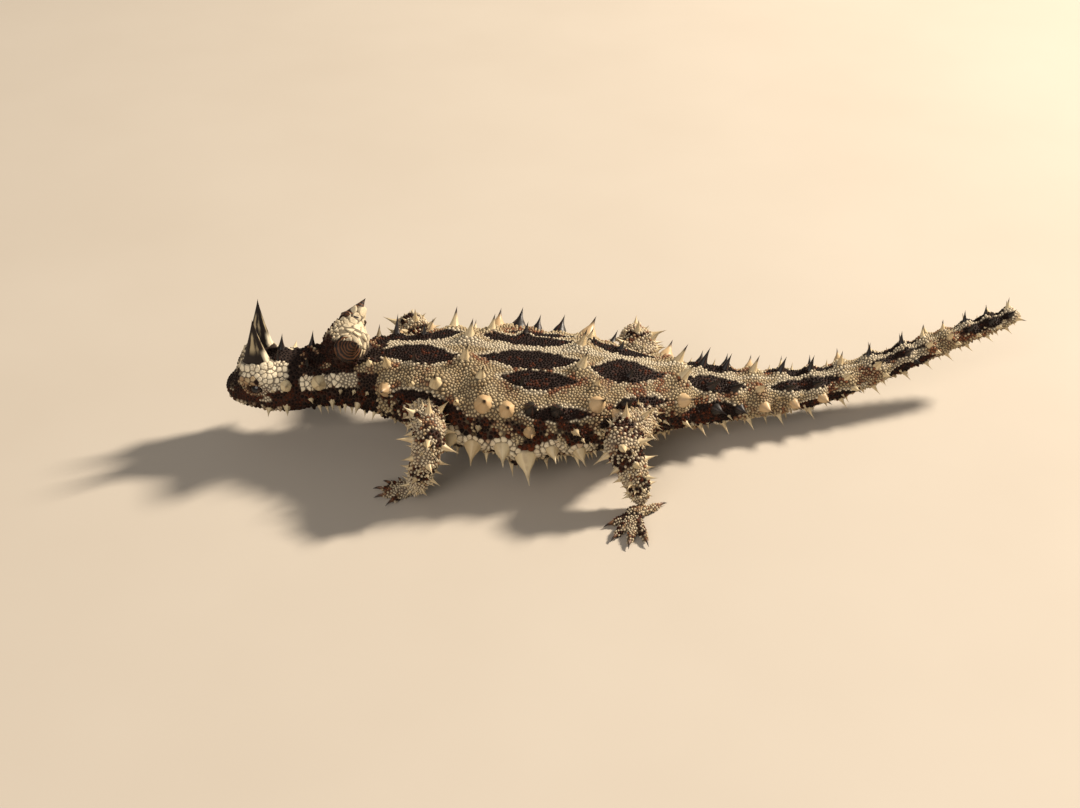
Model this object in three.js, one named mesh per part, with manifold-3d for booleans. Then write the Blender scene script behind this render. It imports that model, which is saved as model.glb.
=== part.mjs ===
// A life-size thorny devil (Moloch horridus) as a still museum model, in millimetres, +Z up.
// The animal faces -X, its left side is towards -Y, and its feet stand on the plane z = 0.
import * as THREE from "three";
import { mergeVertices } from "three/addons/utils/BufferGeometryUtils.js";
import Module from "manifold-3d";

const wasm = await Module();
wasm.setup();

// Driving dimensions
const GAP = 0.3; // between touching pieces
const SECTION_POWER = 2.3; // of the body's rounded section: 2 is an ellipse
const RADIANS = Math.PI / 180;

// The body's axis and section at each station, from the snout to the tail's tip:
// x, y, z, half width, height above the axis, depth below it, and the roll to the left in degrees.
const STATIONS = [
  [-90.3, 3.4, 12.4, 1.6, 1.5, 1.2, 0],
  [-89.3, 3.5, 12.6, 3.4, 2.9, 2.2, 0],
  [-87.0, 3.6, 12.9, 4.9, 4.3, 3.3, 0],
  [-83.5, 3.7, 13.2, 6.3, 5.9, 4.4, 0],
  [-79.5, 3.8, 13.6, 7.4, 7.0, 5.2, 0],
  [-75.0, 3.8, 14.0, 7.9, 7.0, 5.5, 0],
  [-70.5, 3.8, 14.6, 7.0, 6.6, 5.4, 0],
  [-65.5, 3.8, 15.2, 6.9, 6.9, 5.6, 0],
  [-59.5, 3.6, 15.4, 7.8, 7.8, 6.3, 0],
  [-52.5, 3.0, 15.2, 10.2, 8.8, 7.3, 0],
  [-44.5, 2.0, 14.8, 13.4, 9.8, 8.3, 0],
  [-35.0, 0.8, 14.2, 16.2, 10.4, 9.0, 0],
  [-24.0, 0.0, 13.5, 17.8, 10.5, 9.2, 0],
  [-12.5, -0.3, 13.0, 17.2, 10.2, 8.8, 0],
  [-2.5, 0.2, 12.6, 14.0, 9.2, 7.8, 0],
  [5.0, 1.2, 12.0, 10.6, 7.9, 6.8, 2],
  [11.5, 2.5, 11.1, 8.3, 6.5, 6.1, 6],
  [18.5, 4.1, 10.0, 6.8, 5.6, 5.5, 12],
  [27.5, 6.2, 8.8, 5.6, 4.9, 5.0, 17],
  [38.0, 8.8, 8.0, 4.7, 4.2, 4.3, 20],
  [48.0, 11.4, 8.5, 4.0, 3.7, 3.8, 19],
  [57.0, 14.0, 10.2, 3.5, 3.2, 3.3, 15],
  [66.0, 16.8, 12.3, 3.0, 2.8, 2.8, 12],
  [76.0, 20.0, 14.7, 2.5, 2.4, 2.4, 10],
  [85.0, 23.0, 16.7, 2.1, 2.1, 2.0, 10],
  [91.0, 25.0, 17.9, 1.7, 1.7, 1.6, 10],
  [93.4, 25.8, 18.3, 0.9, 0.9, 0.9, 10],
];

// Where the body is parted, by x on its axis
const SNOUT = STATIONS[0][0];
const HEAD_END = -72.5;
const NECK_END = -55.0;
const TORSO_END = 12.8;
const TAIL_BASE_END = 32.0;
const TAIL_MIDDLE_END = 62.0;
const TAIL_END = STATIONS.at(-1)[0];

// Head
const EYE = { x: -82.8, angle: 66, radius: 1.9, sunk: 0.75 };
const LID = { thickness: 1.0, out: 0.72 }; // out: how far along the eye's radius the ring stands
const MOUTH_HEIGHT = 11.3;
const MOUTH_CORNER = -76.5;
const LIP_STANDS_OUT = 0.35;
const LIP_HEIGHT = 2.0;
const MOUTH_DEPTH = 0.7;
const MOUTH_GAPE = 0.4;
const NOSTRIL = { x: -88.6, angle: 48, radius: 0.5 };
const BROW_RIDGE = { x: -81.0, angle: 45, long: 5.8, tall: 1.9 };
const BROW_HORN = { x: -81.9, angle: 22, length: 13.8, radius: 3.9, flatness: 0.54, tilt: 84, sweep: 0.03 };

// The false head on the neck: a lump with a horn to each side
const KNOB = { x: -62.8, rise: 8.4, long: 5.4, wide: 6.6, tall: 5.0 };
const KNOB_HORN = { length: 7.8, radius: 4.1, ahead: 0.4, out: 4.0, above: 1.4, way: [0.34, 0.62, 0.7] };

// Spines of the body as x on the axis, angle from the back's midline, length and base radius.
// Each stands on both sides.
const HEAD_SPINES = [
  [-75.4, 62, 3.0, 1.5],
  [-78.3, 70, 1.8, 1.2],
  [-77.4, 12, 4.2, 1.6],
  [-76.0, 100, 3.4, 1.4],
  [-80.6, 112, 2.2, 1.0],
  [-87.2, 34, 1.3, 0.8],
];
const NECK_SPINES = [
  [-70.4, 26, 4.0, 1.4],
  [-68.2, 66, 4.2, 2.0],
  [-70.6, 92, 2.6, 1.2],
  [-66.0, 104, 3.2, 1.2],
  [-59.6, 106, 3.4, 1.4],
  [-57.0, 34, 3.2, 1.2],
];
const TORSO_SPINES = [
  [-52.8, 33, 5.6, 1.5],
  [-52.4, 68, 4.2, 2.0],
  [-47.0, 21, 3.4, 1.3],
  [-46.2, 52, 3.4, 1.4],
  [-41.0, 46, 6.0, 2.5],
  [-36.4, 13, 5.4, 2.3],
  [-36.4, 60, 3.4, 1.4],
  [-32.4, 31, 4.8, 2.2],
  [-31.0, 57, 5.4, 2.3],
  [-26.4, 59, 5.8, 2.4],
  [-21.6, 56, 4.8, 1.7],
  [-16.4, 57, 4.6, 1.7],
  [-11.4, 12, 5.2, 2.2],
  [-8.4, 30, 3.4, 1.5],
  [-8.6, 52, 5.2, 2.2],
  [-2.8, 54, 4.4, 1.6],
  [-23.8, 31, 3.0, 1.2],
  [-1.5, 20, 3.0, 1.2],
  [-37.0, 100, 5.4, 2.0],
  [-32.6, 106, 6.6, 2.5],
  [-26.6, 101, 5.4, 2.0],
  [-22.0, 112, 7.0, 2.5],
  [-16.8, 100, 4.6, 1.7],
  [-11.6, 106, 4.8, 1.8],
  [-25.0, 128, 6.0, 1.9],
  [-12.6, 79, 3.6, 1.4],
  [-31.6, 81, 3.8, 1.5],
  [-21.4, 80, 4.0, 1.5],
  [9.8, 15, 5.8, 2.2],
  [9.2, 54, 4.8, 2.0],
  [10.4, 92, 3.4, 1.2],
];
const BELLY_SPINES = { from: -42, to: -6, pitch: 6, angles: [126, 146], length: 3.2, radius: 1.2 };

// Rings of spines along the tail, by x on its axis; the lengths shrink towards the tip.
const TAIL_RINGS = [16.2, 22, 28.2, 35.4, 42.4, 50, 57.6, 65, 70.4, 75.4, 80.4, 85.6, 90.4];
const TAIL_ROWS = [
  { angle: 25, length: 5.0, radius: 1.8, shift: 0 },
  { angle: 68, length: 4.2, radius: 1.6, shift: 1.2 },
  { angle: 108, length: 3.6, radius: 1.1, shift: -1.4 },
];
const TAIL_TIP_SIZE = 0.62; // of the spines at the tail's end, as a share of those at its root

// Legs, left and right: the joints' places, the radii of the limb there, and the foot.
// Toes are an angle from +X in the floor's plane and a length to the claw's root.
const LEGS = {
  foreleg_left: {
    side: 1,
    upper: { points: [[-45, -7, 15], [-44, -14, 16], [-43, -20.5, 17.2]], radii: [4.0, 3.4, 2.9] },
    lower: { points: [[-43, -20.5, 17.2], [-44.6, -22.4, 10.5], [-46.6, -21, 3.4]], radii: [2.9, 2.8, 2.0] },
    palm: { centre: [-49, -19.6, 1.3], radius: 1.9 },
    toes: [[112, 3.6], [142, 4.6], [168, 5.2], [194, 4.8], [228, 3.8]],
  },
  foreleg_right: {
    side: -1,
    upper: { points: [[-46, 10, 15], [-47.5, 17, 16], [-49.5, 22.6, 17.4]], radii: [4.0, 3.4, 2.9] },
    lower: { points: [[-49.5, 22.6, 17.4], [-52.4, 24, 10.5], [-55, 23, 3.4]], radii: [2.9, 2.8, 2.0] },
    palm: { centre: [-57.4, 22.4, 1.3], radius: 1.9 },
    toes: [[248, 3.6], [218, 4.6], [192, 5.2], [166, 4.8], [132, 3.8]],
  },
  hindleg_left: {
    side: 1,
    upper: { points: [[2.5, -4, 12.5], [0.5, -13, 14], [-3.0, -20.1, 15.4]], radii: [4.8, 4.2, 3.3] },
    lower: { points: [[-3.0, -20.1, 15.4], [-0.2, -22.8, 9.5], [1.6, -24.4, 3.8]], radii: [3.3, 3.1, 2.2] },
    palm: { centre: [0.4, -28, 1.4], radius: 2.1 },
    toes: [[34, 6.4], [284, 7.6], [260, 8.2], [236, 7.4], [206, 5.2]],
  },
  hindleg_right: {
    side: -1,
    upper: { points: [[3.5, 7, 12.5], [3.4, 14, 14], [2.2, 20.2, 15.2]], radii: [4.8, 4.2, 3.3] },
    lower: { points: [[2.2, 20.2, 15.2], [4.6, 23.4, 9.5], [6.2, 25.6, 3.8]], radii: [3.3, 3.1, 2.2] },
    palm: { centre: [5.0, 29.2, 1.4], radius: 2.1 },
    toes: [[-34, 6.4], [76, 7.6], [100, 8.2], [124, 7.4], [154, 5.2]],
  },
};
const TOE_RADIUS = 1.05;
const TOE_SIDES = 5;
const TOE_TAPER = [1.1, 1, 0.78];
const TOE_TIP_HEIGHT = 0.8;
const CLAW = { length: 2.4, radius: 0.6, droop: 0.16 };
const PAD_FLATNESS = 0.8;

// How spines and horns are drawn in: heights and widths as shares, and the sweep towards the tail
const SPINE_LEAN = 0.12;
const SMALL_SPINE = 1.45; // base radius under which a spine is a plain four-sided cone
const SPINE_FORM = { sides: 5, levels: [[0.36, 0.46]], sweep: 0 };
const SMALL_FORM = { sides: 4, levels: [], sweep: 0 };
const HORN_FORM = { sides: 8, levels: [[0.14, 0.86], [0.42, 0.5], [0.72, 0.24]], sweep: 0.16 };

// The rings of a limb's rounded end: reach and width as shares of its radius, from the pole inwards
const LIMB_END = [[0.82, 0.5], [0.45, 0.86]];

// Spines of a limb: share of its length, angle from its outer face (90 is its rear), length, radius
const UPPER_SPINES = [
  [0.62, -50, 3.6, 1.4],
  [0.62, 40, 3.4, 1.3],
  [0.8, 0, 4.2, 1.6],
  [0.84, 100, 3.0, 1.2],
  [0.84, -100, 3.0, 1.2],
];
const LOWER_SPINES = [
  [0.12, -75, 4.4, 1.4],
  [0.14, 75, 3.8, 1.3],
  [0.1, 0, 3.6, 1.4],
  [0.38, -60, 3.2, 1.1],
  [0.4, 20, 3.0, 1.1],
  [0.42, 95, 3.2, 1.1],
  [0.62, -95, 2.6, 0.9],
  [0.66, -25, 2.4, 0.9],
  [0.68, 60, 2.6, 0.9],
  [0.84, 100, 1.8, 0.8],
];

// Colours of the living animal
const PALE = new THREE.MeshStandardMaterial({ color: "#d8c49c", roughness: 0.7, metalness: 0 });
const BROWN = new THREE.MeshStandardMaterial({ color: "#5a2f1c", roughness: 0.65, metalness: 0 });
const HORN = new THREE.MeshStandardMaterial({ color: "#4b3120", roughness: 0.5, metalness: 0 });
const EYEBALL = new THREE.MeshStandardMaterial({ color: "#1a100a", roughness: 0.12, metalness: 0 });

const X = new THREE.Vector3(1, 0, 0);
const UP = new THREE.Vector3(0, 0, 1);

// A repeatable number from 0 to 1 for piece i.
function chance(i) {
  const wave = Math.sin(i * 12.9898 + 78.233) * 43758.5453;
  return wave - Math.floor(wave);
}

// Solids

// A closed mesh as a solid with its faces pointing out.
function solidOf(points, faces) {
  const geometry = new THREE.BufferGeometry().setFromPoints(points);
  geometry.setIndex(faces);
  const merged = mergeVertices(geometry, 1e-4);
  const index = new Uint32Array(merged.index.array);
  let volume = 0;
  for (let i = 0; i < index.length; i += 3) {
    const [a, b, c] = [index[i], index[i + 1], index[i + 2]].map((k) =>
      new THREE.Vector3().fromBufferAttribute(merged.attributes.position, k),
    );
    volume += a.dot(b.cross(c));
  }
  if (volume < 0) index.reverse();
  const mesh = new wasm.Mesh({
    numProp: 3,
    vertProperties: merged.attributes.position.array,
    triVerts: index,
  });
  return new wasm.Manifold(mesh);
}

function solidFrom(geometry) {
  const points = [];
  const place = geometry.attributes.position;
  for (let i = 0; i < place.count; i += 1) {
    points.push(new THREE.Vector3().fromBufferAttribute(place, i));
  }
  return solidOf(points, [...geometry.index.array]);
}

// The largest closed surface of a solid.
function largest(solid) {
  const pieces = solid.decompose();
  return pieces.reduce((best, piece) => (piece.volume() > best.volume() ? piece : best));
}

function union(solids) {
  return solids.reduce((all, solid) => all.add(solid));
}

function meshOf(name, solid, material) {
  const { vertProperties, triVerts } = largest(solid).getMesh();
  const geometry = new THREE.BufferGeometry();
  geometry.setAttribute("position", new THREE.BufferAttribute(vertProperties, 3));
  geometry.setIndex(new THREE.BufferAttribute(triVerts, 1));
  geometry.computeVertexNormals();
  const mesh = new THREE.Mesh(geometry, material);
  mesh.name = name;
  return mesh;
}

// A closed solid through rings of points, with flat ends.
function loft(rings) {
  const sides = rings[0].length;
  const middle = (ring) =>
    ring.reduce((sum, p) => sum.add(p), new THREE.Vector3()).divideScalar(sides);
  const points = [...rings.flat(), middle(rings[0]), middle(rings.at(-1))];
  const first = points.length - 2;
  const end = (rings.length - 1) * sides;
  const faces = [];
  for (let j = 0; j < sides; j += 1) {
    const k = (j + 1) % sides;
    for (let i = 0; i < end; i += sides) {
      faces.push(i + j, i + sides + j, i + sides + k, i + j, i + sides + k, i + k);
    }
    faces.push(first, j, k, first + 1, end + k, end + j);
  }
  return solidOf(points, faces);
}

// A tapered spine with a flared foot: rings of a height and a width, as shares, and a point.
// The first ring is sunk below the root by half the radius.
function spine(root, axis, length, radius, form = SPINE_FORM) {
  const { sides, levels, flatness = 1 } = form;
  const across = Math.abs(axis.z) < 0.9 ? UP : X;
  const a = across.clone().cross(axis).normalize();
  const b = axis.clone().cross(a);
  const heights = [[-0.5 * radius, 1], ...levels.map(([share, width]) => [share * length, width])];
  const sweep = (height) => form.sweep * length * Math.max(height / length, 0) ** 2;
  const at = (height) => root.clone().addScaledVector(axis, height).addScaledVector(X, sweep(height));
  const points = [];
  for (const [height, width] of heights) {
    for (let j = 0; j < sides; j += 1) {
      const turn = (2 * Math.PI * j) / sides;
      const arm = a.clone().multiplyScalar(flatness * Math.cos(turn)).addScaledVector(b, Math.sin(turn));
      points.push(at(height).addScaledVector(arm, radius * width));
    }
  }
  points.push(at(length));
  const last = (heights.length - 1) * sides;
  const tip = last + sides;
  const faces = [];
  for (let j = 0; j < sides; j += 1) {
    const k = (j + 1) % sides;
    for (let i = 0; i < last; i += sides) {
      faces.push(i + j, i + k, i + sides + k, i + j, i + sides + k, i + sides + j);
    }
    faces.push(last + j, last + k, tip);
    if (j > 0 && k > 0) faces.push(0, k, j);
  }
  return solidOf(points, faces);
}

// Spines of a skin, from places of u, angle, length and radius. They lean towards the tail or foot.
function spinesOn(skin, places, grow = 0) {
  return places.map(([u, angle, length, radius], i) => {
    const size = 0.9 + 0.2 * chance(i + length);
    const axis = skin.normal(u, angle).addScaledVector(skin.along(u), SPINE_LEAN).normalize();
    const form = radius < SMALL_SPINE ? SMALL_FORM : SPINE_FORM;
    return spine(skin.point(u, angle), axis, length * size + grow, radius * size + grow, form);
  });
}

function bothSides(places) {
  return places.flatMap(([x, angle, ...size]) => [
    [x, angle, ...size],
    [x + 0.8 * (chance(x) - 0.5), -angle, ...size],
  ]);
}

// Body

// A smooth curve through the stations, by station number.
function stationAt(t) {
  const last = STATIONS.length - 1;
  const at = Math.min(Math.max(t, 0), last - 1e-9);
  const i = Math.floor(at);
  const f = at - i;
  const p0 = STATIONS[Math.max(i - 1, 0)];
  const p1 = STATIONS[i];
  const p2 = STATIONS[i + 1];
  const p3 = STATIONS[Math.min(i + 2, last)];
  const step = p2[0] - p1[0];
  return p1.map((value, k) => {
    const slopeIn = ((p2[k] - p0[k]) / (p2[0] - p0[0])) * step;
    const slopeOut = ((p3[k] - p1[k]) / (p3[0] - p1[0])) * step;
    return (
      (2 * f ** 3 - 3 * f ** 2 + 1) * value +
      (f ** 3 - 2 * f ** 2 + f) * slopeIn +
      (3 * f ** 2 - 2 * f ** 3) * p2[k] +
      (f ** 3 - f ** 2) * slopeOut
    );
  });
}

// The station number at an x on the axis.
function stationOf(x) {
  let i = 0;
  while (i < STATIONS.length - 2 && STATIONS[i + 1][0] < x) i += 1;
  const [x0, x1] = [STATIONS[i][0], STATIONS[i + 1][0]];
  return i + (x - x0) / (x1 - x0);
}

function bodyFrame(t) {
  const before = new THREE.Vector3(...stationAt(t - 0.02));
  const after = new THREE.Vector3(...stationAt(t + 0.02));
  const along = after.sub(before).normalize();
  const roll = stationAt(t)[6] * RADIANS;
  const left = along.clone().cross(UP).normalize().applyAxisAngle(along, roll);
  return { along, left, up: left.clone().cross(along) };
}

// The skin of the body. An angle is measured from the back's midline, positive to the left.
const body = {
  at(t, angle, grow = 0) {
    const [x, y, z, width, above, below] = stationAt(t);
    const { left, up } = bodyFrame(t);
    const [s, c] = [Math.sin(angle * RADIANS), Math.cos(angle * RADIANS)];
    const power = 2 / SECTION_POWER;
    const side = Math.sign(s) * Math.abs(s) ** power * (width + grow);
    const rise = Math.sign(c) * Math.abs(c) ** power * ((c > 0 ? above : below) + grow);
    return new THREE.Vector3(x, y, z).addScaledVector(left, side).addScaledVector(up, rise);
  },
  point: (x, angle) => body.at(stationOf(x), angle),
  along: (x) => bodyFrame(stationOf(x)).along,
  normal(x, angle) {
    const t = stationOf(x);
    const down = body.at(t + 0.05, angle).sub(body.at(t - 0.05, angle));
    const round = body.at(t, angle + 2).sub(body.at(t, angle - 2));
    return round.cross(down).normalize();
  },
};

function bodyLoft(fromX, toX, steps, sides, grow = 0) {
  const [t0, t1] = [stationOf(fromX), stationOf(toX)];
  const rings = [];
  for (let i = 0; i <= steps; i += 1) {
    const t = t0 + ((t1 - t0) * i) / steps;
    const ring = [];
    for (let j = 0; j < sides; j += 1) ring.push(body.at(t, (360 * j) / sides, grow));
    rings.push(ring);
  }
  return loft(rings);
}

function boxAt(centre, size, turn = new THREE.Quaternion()) {
  const geometry = new THREE.BoxGeometry(...size);
  geometry.applyQuaternion(turn);
  geometry.translate(...centre);
  return solidFrom(geometry);
}

// A box across the axis that trims what passes x, half a gap short of it: way 1 trims the tail's
// side and way -1 the head's.
function trimmer(x, way) {
  const depth = 30;
  const t = stationOf(x);
  const { along } = bodyFrame(t);
  const centre = new THREE.Vector3(...stationAt(t).slice(0, 3));
  centre.addScaledVector(along, way * (depth / 2 - GAP / 2));
  return boxAt(centre, [depth, 90, 90], new THREE.Quaternion().setFromUnitVectors(X, along));
}

function bodyLength(fromX, toX, steps, sides, spines) {
  const grown = union([bodyLoft(fromX, toX, steps, sides), ...spines]);
  return grown.subtract(trimmer(fromX, -1)).subtract(trimmer(toX, 1));
}

// Head

function ellipsoidAt(centre, radii, wide = 14, high = 10) {
  const geometry = new THREE.SphereGeometry(1, wide, high);
  geometry.scale(...radii);
  geometry.translate(...centre);
  return solidFrom(geometry);
}

const SIDES = { left: 1, right: -1 };

function browRidge(side, grow) {
  const { x, angle, long, tall } = BROW_RIDGE;
  const centre = body.point(x, side * angle);
  return ellipsoidAt([...centre], [long + grow, tall + grow, tall + grow], 10, 7);
}

function headCore(grow = 0) {
  const raised = Object.values(SIDES).flatMap((side) => [browRidge(side, grow), lid(side, grow)]);
  return union([bodyLoft(SNOUT, HEAD_END, 10, 20, grow), ...raised]);
}

function eyePlace(side) {
  const centre = body.point(EYE.x, side * EYE.angle);
  const facing = body.normal(EYE.x, side * EYE.angle);
  return { facing, centre: centre.addScaledVector(facing, -EYE.radius * EYE.sunk) };
}

function eyeball(side, grow = 0) {
  const radius = EYE.radius + grow;
  return ellipsoidAt([...eyePlace(side).centre], [radius, radius, radius], 12, 8);
}

// A ring round the eye that stands a little over its rim.
function lid(side, grow) {
  const { centre, facing } = eyePlace(side);
  const ring = new THREE.TorusGeometry(EYE.radius, LID.thickness / 2 + grow, 5, 12);
  ring.applyQuaternion(new THREE.Quaternion().setFromUnitVectors(UP, facing));
  ring.translate(...centre.addScaledVector(facing, EYE.radius * LID.out));
  return solidFrom(ring);
}

// A level band round the muzzle, as far back as the corner of the mouth.
function muzzleBand(height, thickness) {
  const long = MOUTH_CORNER - SNOUT + 4;
  return boxAt([MOUTH_CORNER - long / 2, STATIONS[0][1], height], [long, 40, thickness]);
}

function lips() {
  const swollen = bodyLoft(SNOUT, MOUTH_CORNER, 7, 20, LIP_STANDS_OUT);
  return swollen.intersect(muzzleBand(MOUTH_HEIGHT, LIP_HEIGHT));
}

function mouthLine() {
  const inside = bodyLoft(SNOUT, HEAD_END, 7, 16, -MOUTH_DEPTH);
  return muzzleBand(MOUTH_HEIGHT, MOUTH_GAPE).subtract(inside);
}

function nostril(side) {
  const { x, angle, radius } = NOSTRIL;
  return ellipsoidAt([...body.point(x, side * angle)], [radius, radius, radius], 6, 4);
}

function hornSpine(side, grow = 0) {
  const { x, angle, length, radius, flatness, tilt, sweep } = BROW_HORN;
  const root = body.point(x, side * angle);
  const axis = new THREE.Vector3(0, -side * Math.cos(tilt * RADIANS), Math.sin(tilt * RADIANS));
  return spine(root, axis, length + grow, radius + grow, { ...HORN_FORM, flatness, sweep });
}

function browHorn(side) {
  return hornSpine(side).subtract(headCore(GAP)).subtract(eyeball(side, GAP));
}

function head() {
  const horns = Object.values(SIDES).map((side) => hornSpine(side, GAP));
  const thorns = spinesOn(body, bothSides(HEAD_SPINES)).map((thorn) =>
    horns.reduce((kept, horn) => kept.subtract(horn), thorn),
  );
  let solid = union([headCore(), lips(), ...thorns]);
  for (const side of Object.values(SIDES)) {
    solid = solid.subtract(eyeball(side, GAP)).subtract(nostril(side));
  }
  return solid.subtract(mouthLine()).subtract(trimmer(HEAD_END, 1));
}

// Neck and its knob

const neckCore = (grow = 0) => bodyLoft(HEAD_END, NECK_END, 6, 20, grow);

function knob(grow = 0) {
  const { x, rise, long, wide, tall } = KNOB;
  const [, y, z] = stationAt(stationOf(x));
  const lump = ellipsoidAt([x, y, z + rise], [long + grow, wide + grow, tall + grow]);
  const horns = Object.values(SIDES).map((side) => {
    const { length, radius, ahead, out, above, way } = KNOB_HORN;
    const root = new THREE.Vector3(x + ahead, y - side * out, z + rise + above);
    const axis = new THREE.Vector3(way[0], -side * way[1], way[2]).normalize();
    return spine(root, axis, length + grow, radius + grow, HORN_FORM);
  });
  return union([lump, ...horns]);
}

function neck() {
  const clear = knob(GAP);
  const thorns = spinesOn(body, bothSides(NECK_SPINES)).map((thorn) => thorn.subtract(clear));
  return bodyLength(HEAD_END, NECK_END, 6, 20, thorns);
}

// Torso and tail

function torsoPlaces() {
  const { from, to, pitch, angles, length, radius } = BELLY_SPINES;
  const places = [...TORSO_SPINES];
  for (const [row, angle] of angles.entries()) {
    for (let x = from + (row * pitch) / 2; x <= to; x += pitch) {
      places.push([x, angle, length, radius]);
    }
  }
  return bothSides(places);
}

function tailPlaces(fromX, toX) {
  const [first, last] = [TAIL_RINGS[0], TAIL_RINGS.at(-1)];
  const places = [];
  for (const ring of TAIL_RINGS) {
    const size = 1 - ((1 - TAIL_TIP_SIZE) * (ring - first)) / (last - first);
    for (const { angle, length, radius, shift } of TAIL_ROWS) {
      const x = ring + shift;
      if (x > fromX && x < toX) places.push([x, angle, length * size, radius * size]);
    }
  }
  return bothSides(places);
}

function tail(fromX, toX, steps, sides) {
  return bodyLength(fromX, toX, steps, sides, spinesOn(body, tailPlaces(fromX, toX)));
}

// Legs

// The skin of a limb: u is the share of its length, and the angle is from its outer face.
function limbSkin({ points, radii }, side) {
  const curve = new THREE.CatmullRomCurve3(points.map((p) => new THREE.Vector3(...p)));
  const skin = {
    along: (u) => curve.getTangent(u),
    radius(u) {
      const place = u * (radii.length - 1);
      const i = Math.min(Math.floor(place), radii.length - 2);
      return THREE.MathUtils.lerp(radii[i], radii[i + 1], place - i);
    },
    normal(u, angle) {
      const along = skin.along(u);
      const out = along.clone().cross(X).normalize().multiplyScalar(side);
      const rear = X.clone().addScaledVector(along, -along.x).normalize();
      out.multiplyScalar(Math.cos(angle * RADIANS));
      return out.addScaledVector(rear, Math.sin(angle * RADIANS));
    },
    at: (u, angle, radius, forward) =>
      curve
        .getPoint(u)
        .addScaledVector(skin.along(u), forward)
        .addScaledVector(skin.normal(u, angle), radius),
    point: (u, angle) => skin.at(u, angle, skin.radius(u), 0),
  };
  return skin;
}

// A limb's solid, rounded at both ends.
function limbCore(skin, grow = 0, steps = 6, sides = 10) {
  const stops = LIMB_END.map(([reach, width]) => [0, -reach, width]);
  for (let i = 0; i <= steps; i += 1) stops.push([i / steps, 0, 1]);
  stops.push(...LIMB_END.toReversed().map(([reach, width]) => [1, reach, width]));
  const rings = stops.map(([u, forward, width]) => {
    const radius = skin.radius(u) + grow;
    return Array.from({ length: sides }, (_, j) =>
      skin.at(u, (360 * j) / sides, radius * width, radius * forward),
    );
  });
  return loft(rings);
}

function toe([heading, length], { centre }) {
  const way = new THREE.Vector3(Math.cos(heading * RADIANS), Math.sin(heading * RADIANS), 0);
  const flat = way.clone().cross(UP);
  const start = new THREE.Vector3(...centre);
  const radii = TOE_TAPER.map((share) => share * TOE_RADIUS);
  const rings = radii.map((radius, i) => {
    const share = i / (radii.length - 1);
    const middle = start.clone().addScaledVector(way, share * length);
    middle.z = THREE.MathUtils.lerp(centre[2], TOE_TIP_HEIGHT, share);
    return Array.from({ length: TOE_SIDES }, (_, j) => {
      const turn = (2 * Math.PI * j) / TOE_SIDES;
      const point = middle.clone().addScaledVector(flat, Math.cos(turn) * radius);
      return point.addScaledVector(UP, Math.sin(turn) * radius);
    });
  });
  const end = start.clone().addScaledVector(way, length).setZ(TOE_TIP_HEIGHT);
  const axis = way.clone().addScaledVector(UP, -CLAW.droop).normalize();
  return union([loft(rings), spine(end, axis, CLAW.length, CLAW.radius, SMALL_FORM)]);
}

function foot({ palm, toes }) {
  const { centre, radius } = palm;
  const pad = ellipsoidAt(centre, [radius, radius, PAD_FLATNESS * radius], 10, 7);
  return union([pad, ...toes.map((one) => toe(one, palm))]);
}

const FLOOR = boxAt([0, 0, -10], [260, 120, 20]);

function leg(name, plan, trunk) {
  const skins = { upper: limbSkin(plan.upper, plan.side), lower: limbSkin(plan.lower, plan.side) };
  const lowerClear = limbCore(skins.lower, GAP);
  const upperClear = union([limbCore(skins.upper, GAP), ...spinesOn(skins.upper, UPPER_SPINES, GAP)]);
  const upperThorns = spinesOn(skins.upper, UPPER_SPINES).map((one) => one.subtract(lowerClear));
  const upper = union([limbCore(skins.upper), ...upperThorns]);
  const lower = union([limbCore(skins.lower), ...spinesOn(skins.lower, LOWER_SPINES)]);
  return [
    meshOf(`${name}_upper`, upper.subtract(trunk), PALE),
    meshOf(`${name}_lower`, lower.subtract(upperClear).subtract(FLOOR), PALE),
    meshOf(`${name}_foot`, foot(plan).subtract(lowerClear).subtract(FLOOR), PALE),
  ];
}

// The animal

const animal = new THREE.Group();
animal.add(meshOf("head", head(), PALE));
for (const [name, side] of Object.entries(SIDES)) {
  animal.add(meshOf(`eye_${name}`, eyeball(side), EYEBALL));
  animal.add(meshOf(`brow_horn_${name}`, browHorn(side), HORN));
}
animal.add(meshOf("neck", neck(), PALE));
animal.add(meshOf("neck_knob", knob().subtract(neckCore(GAP)), HORN));

const trunk = bodyLoft(NECK_END, TAIL_BASE_END, 26, 28, GAP);
const legs = Object.entries(LEGS).map(([name, plan]) => leg(name, plan, trunk));
const legsClear = Object.values(LEGS).map((plan) => limbCore(limbSkin(plan.upper, plan.side), GAP));
const torsoThorns = spinesOn(body, torsoPlaces()).map((thorn) =>
  legsClear.reduce((kept, limb) => kept.subtract(limb), thorn),
);
animal.add(meshOf("torso", bodyLength(NECK_END, TORSO_END, 15, 24, torsoThorns), BROWN));
animal.add(meshOf("tail_base", tail(TORSO_END, TAIL_BASE_END, 6, 20), BROWN));
animal.add(meshOf("tail_middle", tail(TAIL_BASE_END, TAIL_MIDDLE_END, 7, 16), BROWN));
animal.add(meshOf("tail_tip", tail(TAIL_MIDDLE_END, TAIL_END, 8, 12), BROWN));
animal.add(...legs.flat());

// The origin is under the middle of the animal's box, on the floor.
const box = new THREE.Box3().setFromObject(animal);
animal.position.set(-(box.min.x + box.max.x) / 2, -(box.min.y + box.max.y) / 2, 0);

export default animal;
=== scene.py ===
import math

import bpy
import numpy as np
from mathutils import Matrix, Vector, bvhtree, kdtree


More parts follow.
